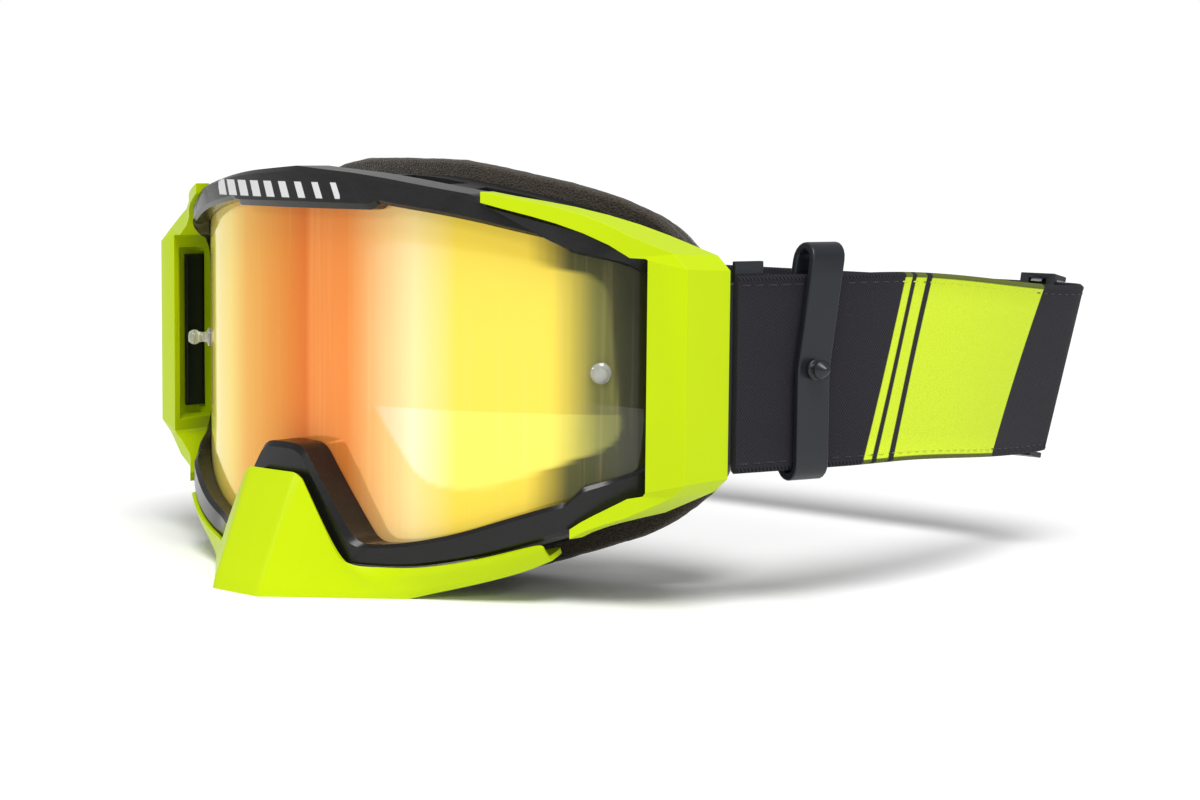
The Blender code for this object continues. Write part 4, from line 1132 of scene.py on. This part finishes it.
def build_clips(settings):
    """Clips between the outriggers and the band."""
    finish = stocked("clip_satin", satin_finish, "clip_satin", settings.keeper, 0.38, 2600.0)
    for word in ("left", "right"):
        clip = moulded_copy(f"clip_{word}", f"strap_clip_{word}", finish, settings.edge)
        finish_piece(clip, f"strap_{word}", "clip")


def build_adjusters(settings):
    """Sliders on the back run of the band."""
    finish = stocked("clip_satin", satin_finish, "clip_satin", settings.keeper, 0.38, 2600.0)
    for word in ("left", "right"):
        slider = moulded_copy(f"slider_{word}", f"adjuster_{word}", finish, settings.edge)
        finish_piece(slider, f"adjuster_{word}", "clip")


def keeper_ring(reach, foot, high):
    """Closed line of the hairpin as (out, height) points, with round ends."""
    turns = 10
    points = [(reach, high * step / 6.0) for step in range(6)]
    for step in range(turns + 1):
        angle = math.pi * step / turns
        points.append((reach * math.cos(angle), high + reach * math.sin(angle)))
    points += [(-reach, mix(high, reach - foot, step / 12.0)) for step in range(1, 12)]
    for step in range(turns + 1):
        angle = math.pi + math.pi * step / turns
        points.append((reach * math.cos(angle), reach - foot + reach * math.sin(angle)))
    points += [(reach, mix(reach - foot, 0.0, step / 6.0)) for step in range(1, 6)]
    return points


POST_GAP = 0.3
POST_PROFILE = (
    (0.0, 5.2), (0.5, 5.16), (0.8, 4.95), (2.25, 3.2), (2.4, 2.95), (2.4, 2.45), (2.25, 2.25), (1.55, 1.85),
    (1.45, 1.6), (1.5, 1.1), (1.7, 0.95), (2.4, 0.8), (2.55, 0.65), (2.55, 0.0), (0.0, 0.0),
)


def build_keeper(settings):
    """Hairpin keeper round the band, raked back in its upper half, and its tear-off post."""
    finish = satin_finish("keeper_satin", settings.keeper, 0.3, 3200.0)
    away = (Vector(STRAP_SPREAD) - Vector(STRAP_START)).normalized()
    spot = Vector(STRAP_START) + away * KEEPER_PLACE
    centre = Vector((spot.x, spot.y, STRAP_FRONT_Z + KEEPER_RISE))
    run = Vector((away.x, away.y, 0.0))
    out = Vector((away.y, -away.x, 0.0))
    inside = STRAP_THICKNESS / 2.0 + KEEPER_CLEARANCE
    outside = inside + KEEPER_WALL
    low = STRAP_WIDTH / 2.0 + KEEPER_FOOT_ROOM
    high = STRAP_WIDTH / 2.0 + KEEPER_HEAD_ROOM
    sections = []
    for inner, outer in zip(keeper_ring(inside, low, high), keeper_ring(outside, low + KEEPER_WALL, high)):
        section = []
        for (offset, height), edge in ((outer, -1.0), (outer, 1.0), (inner, 1.0), (inner, -1.0)):
            rake = KEEPER_LEAN * max(0.0, height) / (high + outside)
            place = centre + out * offset + run * (edge * KEEPER_WIDTH / 2.0 + rake)
            section.append(tuple(place + Vector((0.0, 0.0, height))))
        sections.append(section)
    hairpin = lofted("keeper_hairpin", sections, finish, closed=True, angle=35.0)
    round_edges(hairpin, 0.45, 4, 50.0)
    finish_piece(hairpin, "keeper", "keeper", "strap_keeper")
    post = turned("keeper_post", POST_PROFILE, centre + out * (outside + POST_GAP), out, finish)
    finish_piece(post, "keeper", "keeper", "tear_off_post")


# ---------------------------------------------------------------- stage

CAMERA_AZIMUTH = math.radians(43.0)
CAMERA_RISE = math.radians(5.7)
CAMERA_ROLL = math.radians(0.56)
CAMERA_PLACE = (0.50634, -0.48226, 0.05658)
CAMERA_LENS = 78.45
WORLD_LIGHT = 0.45
WORLD_WHITE = 1.0
OVERHEAD_STRENGTH = 2.75
OVERHEAD_SPREAD = 32.0


def soft_light(name, place, target, width, power):
    """A square area light aimed at a point."""
    lamp = bpy.data.lights.new(name, "AREA")
    lamp.shape = "SQUARE"
    lamp.size = width
    lamp.energy = power
    made = bpy.data.objects.new(name, lamp)
    bpy.context.scene.collection.objects.link(made)
    made.location = place
    made.rotation_euler = (Vector(target) - Vector(place)).to_track_quat("-Z", "Y").to_euler()


def build_floor():
    """Pale floor under the model."""
    shape = bmesh.new()
    bmesh.ops.create_grid(shape, x_segments=2, y_segments=2, size=8.0)
    bmesh.ops.translate(shape, vec=(0.0, 0.0, CAD_BOX[0][2]), verts=shape.verts)
    piece("floor", shape, floor_finish())


def build_world():
    """White studio that is seen brighter than it lights."""
    world = bpy.data.worlds.new("studio")
    bpy.context.scene.world = world
    world.use_nodes = True
    tree = world.node_tree
    choose = tree.nodes.new("ShaderNodeMixShader")
    lit = tree.nodes["Background"]
    seen = tree.nodes.new("ShaderNodeBackground")
    for number, (backdrop, strength) in enumerate(((lit, WORLD_LIGHT), (seen, WORLD_WHITE))):
        backdrop.inputs["Color"].default_value = (1.0, 1.0, 1.0, 1.0)
        backdrop.inputs["Strength"].default_value = strength
        tree.links.new(backdrop.outputs[0], choose.inputs[number + 1])
    tree.links.new(tree.nodes.new("ShaderNodeLightPath").outputs["Is Camera Ray"], choose.inputs[0])
    tree.links.new(choose.outputs[0], tree.nodes["World Output"].inputs[0])


def build_lights():
    """Wide overhead light and two small soft lights for the highlights."""
    overhead = bpy.data.lights.new("overhead", "SUN")
    overhead.energy = OVERHEAD_STRENGTH
    overhead.angle = math.radians(OVERHEAD_SPREAD)
    made = bpy.data.objects.new("overhead", overhead)
    bpy.context.scene.collection.objects.link(made)
    made.rotation_euler = Vector((-0.42, 0.30, -1.0)).to_track_quat("-Z", "Y").to_euler()
    soft_light("strip_front", (-0.35, -0.9, 0.5), (0.0, -0.03, 0.0), 0.16, 1.4)
    soft_light("strip_side", (0.95, -0.35, 0.42), (0.05, 0.0, 0.0), 0.16, 1.2)


def build_camera():
    """Camera at the front left, a little above the floor."""
    scene = bpy.context.scene
    camera = bpy.data.objects.new("camera", bpy.data.cameras.new("camera"))
    scene.collection.objects.link(camera)
    camera.data.lens = CAMERA_LENS
    camera.data.sensor_width = 36.0
    camera.data.clip_start = 0.01
    back = Vector((math.sin(CAMERA_AZIMUTH) * math.cos(CAMERA_RISE),
                   -math.cos(CAMERA_AZIMUTH) * math.cos(CAMERA_RISE), math.sin(CAMERA_RISE)))
    right = Vector((math.cos(CAMERA_AZIMUTH), math.sin(CAMERA_AZIMUTH), 0.0))
    turn = Matrix.Rotation(CAMERA_ROLL, 3, back)
    axes = Matrix((right, back.cross(right), back)).transposed()
    camera.matrix_world = Matrix.Translation(CAMERA_PLACE) @ (turn @ axes).to_4x4()
    scene.camera = camera


def build_stage():
    """Pale floor, soft light and the camera."""
    build_floor()
    build_world()
    build_lights()
    build_camera()
    bpy.context.scene.view_settings.view_transform = "Standard"


# ---------------------------------------------------------------- add-on

class GOGGLES_OT_rim(bpy.types.Operator):
    """Build the rim"""
    bl_idname = "goggles.rim"
    bl_label = "Rim"

    def execute(self, context):
        build_rim(context.scene.goggles)
        return {"FINISHED"}


class GOGGLES_OT_lens(bpy.types.Operator):
    """Build the mirrored lens"""
    bl_idname = "goggles.lens"
    bl_label = "Lens"

    def execute(self, context):
        build_lens()
        return {"FINISHED"}


class GOGGLES_OT_pins(bpy.types.Operator):
    """Build the clear tear-off pins"""
    bl_idname = "goggles.pins"
    bl_label = "Tear-off pins"

    def execute(self, context):
        build_pins()
        return {"FINISHED"}


class GOGGLES_OT_face_frame(bpy.types.Operator):
    """Build the vented face frame"""
    bl_idname = "goggles.face_frame"
    bl_label = "Face frame"

    def execute(self, context):
        build_face_frame(context.scene.goggles)
        return {"FINISHED"}


class GOGGLES_OT_foam(bpy.types.Operator):
    """Build the three rings of face foam"""
    bl_idname = "goggles.foam"
    bl_label = "Face foam"

    def execute(self, context):
        build_foam(context.scene.goggles)
        return {"FINISHED"}


class GOGGLES_OT_vent_foam(bpy.types.Operator):
    """Build the filter foam behind the vents"""
    bl_idname = "goggles.vent_foam"
    bl_label = "Vent foam"

    def execute(self, context):
        build_vent_foam(context.scene.goggles)
        return {"FINISHED"}


class GOGGLES_OT_outriggers(bpy.types.Operator):
    """Build both outriggers"""
    bl_idname = "goggles.outriggers"
    bl_label = "Outriggers"

    def execute(self, context):
        build_outriggers(context.scene.goggles)
        return {"FINISHED"}


class GOGGLES_OT_nose_guard(bpy.types.Operator):
    """Build the removable nose guard"""
    bl_idname = "goggles.nose_guard"
    bl_label = "Nose guard"

    def execute(self, context):
        build_nose_guard(context.scene.goggles)
        return {"FINISHED"}


class GOGGLES_OT_strap(bpy.types.Operator):
    """Build the elastic band and its stitches"""
    bl_idname = "goggles.strap"
    bl_label = "Strap"

    def execute(self, context):
        build_strap(context.scene.goggles)
        return {"FINISHED"}


class GOGGLES_OT_clips(bpy.types.Operator):
    """Build the clips that hold the band"""
    bl_idname = "goggles.clips"
    bl_label = "Strap clips"

    def execute(self, context):
        build_clips(context.scene.goggles)
        return {"FINISHED"}


class GOGGLES_OT_keeper(bpy.types.Operator):
    """Build the keeper and its tear-off post"""
    bl_idname = "goggles.keeper"
    bl_label = "Keeper"

    def execute(self, context):
        build_keeper(context.scene.goggles)
        return {"FINISHED"}


class GOGGLES_OT_adjusters(bpy.types.Operator):
    """Build the strap adjusters"""
    bl_idname = "goggles.adjusters"
    bl_label = "Adjusters"

    def execute(self, context):
        build_adjusters(context.scene.goggles)
        return {"FINISHED"}


class GOGGLES_OT_stage(bpy.types.Operator):
    """Build the floor, the lights and the camera"""
    bl_idname = "goggles.stage"
    bl_label = "Stage"

    def execute(self, context):
        build_stage()
        return {"FINISHED"}


STEPS = (
    GOGGLES_OT_rim, GOGGLES_OT_lens, GOGGLES_OT_pins, GOGGLES_OT_face_frame, GOGGLES_OT_foam,
    GOGGLES_OT_vent_foam, GOGGLES_OT_outriggers, GOGGLES_OT_nose_guard, GOGGLES_OT_strap,
    GOGGLES_OT_clips, GOGGLES_OT_keeper, GOGGLES_OT_adjusters, GOGGLES_OT_stage,
)


class GOGGLES_PT_build(bpy.types.Panel):
    """Lists the building steps and the settings"""
    bl_idname = "GOGGLES_PT_build"
    bl_label = "Goggles"
    bl_space_type = "VIEW_3D"
    bl_region_type = "UI"
    bl_category = "Goggles"

    def draw(self, context):
        for label in GogglesSettings.__annotations__:
            self.layout.prop(context.scene.goggles, label)
        for step in STEPS:
            self.layout.operator(step.bl_idname)


CLASSES = (GogglesSettings, *STEPS, GOGGLES_PT_build)


def register():
    """Register the classes and attach the settings to the scene."""
    for each in CLASSES:
        bpy.utils.register_class(each)
    bpy.types.Scene.goggles = bpy.props.PointerProperty(type=GogglesSettings)


def unregister():
    """Undo register."""
    del bpy.types.Scene.goggles
    for each in reversed(CLASSES):
        bpy.utils.unregister_class(each)


def main():
    """Register the add-on and build every piece."""
    register()
    bpy.ops.goggles.rim()
    bpy.ops.goggles.lens()
    bpy.ops.goggles.pins()
    bpy.ops.goggles.face_frame()
    bpy.ops.goggles.foam()
    bpy.ops.goggles.vent_foam()
    bpy.ops.goggles.outriggers()
    bpy.ops.goggles.nose_guard()
    bpy.ops.goggles.strap()
    bpy.ops.goggles.clips()
    bpy.ops.goggles.keeper()
    bpy.ops.goggles.adjusters()
    bpy.ops.goggles.stage()


if __name__ == "__main__":
    main()
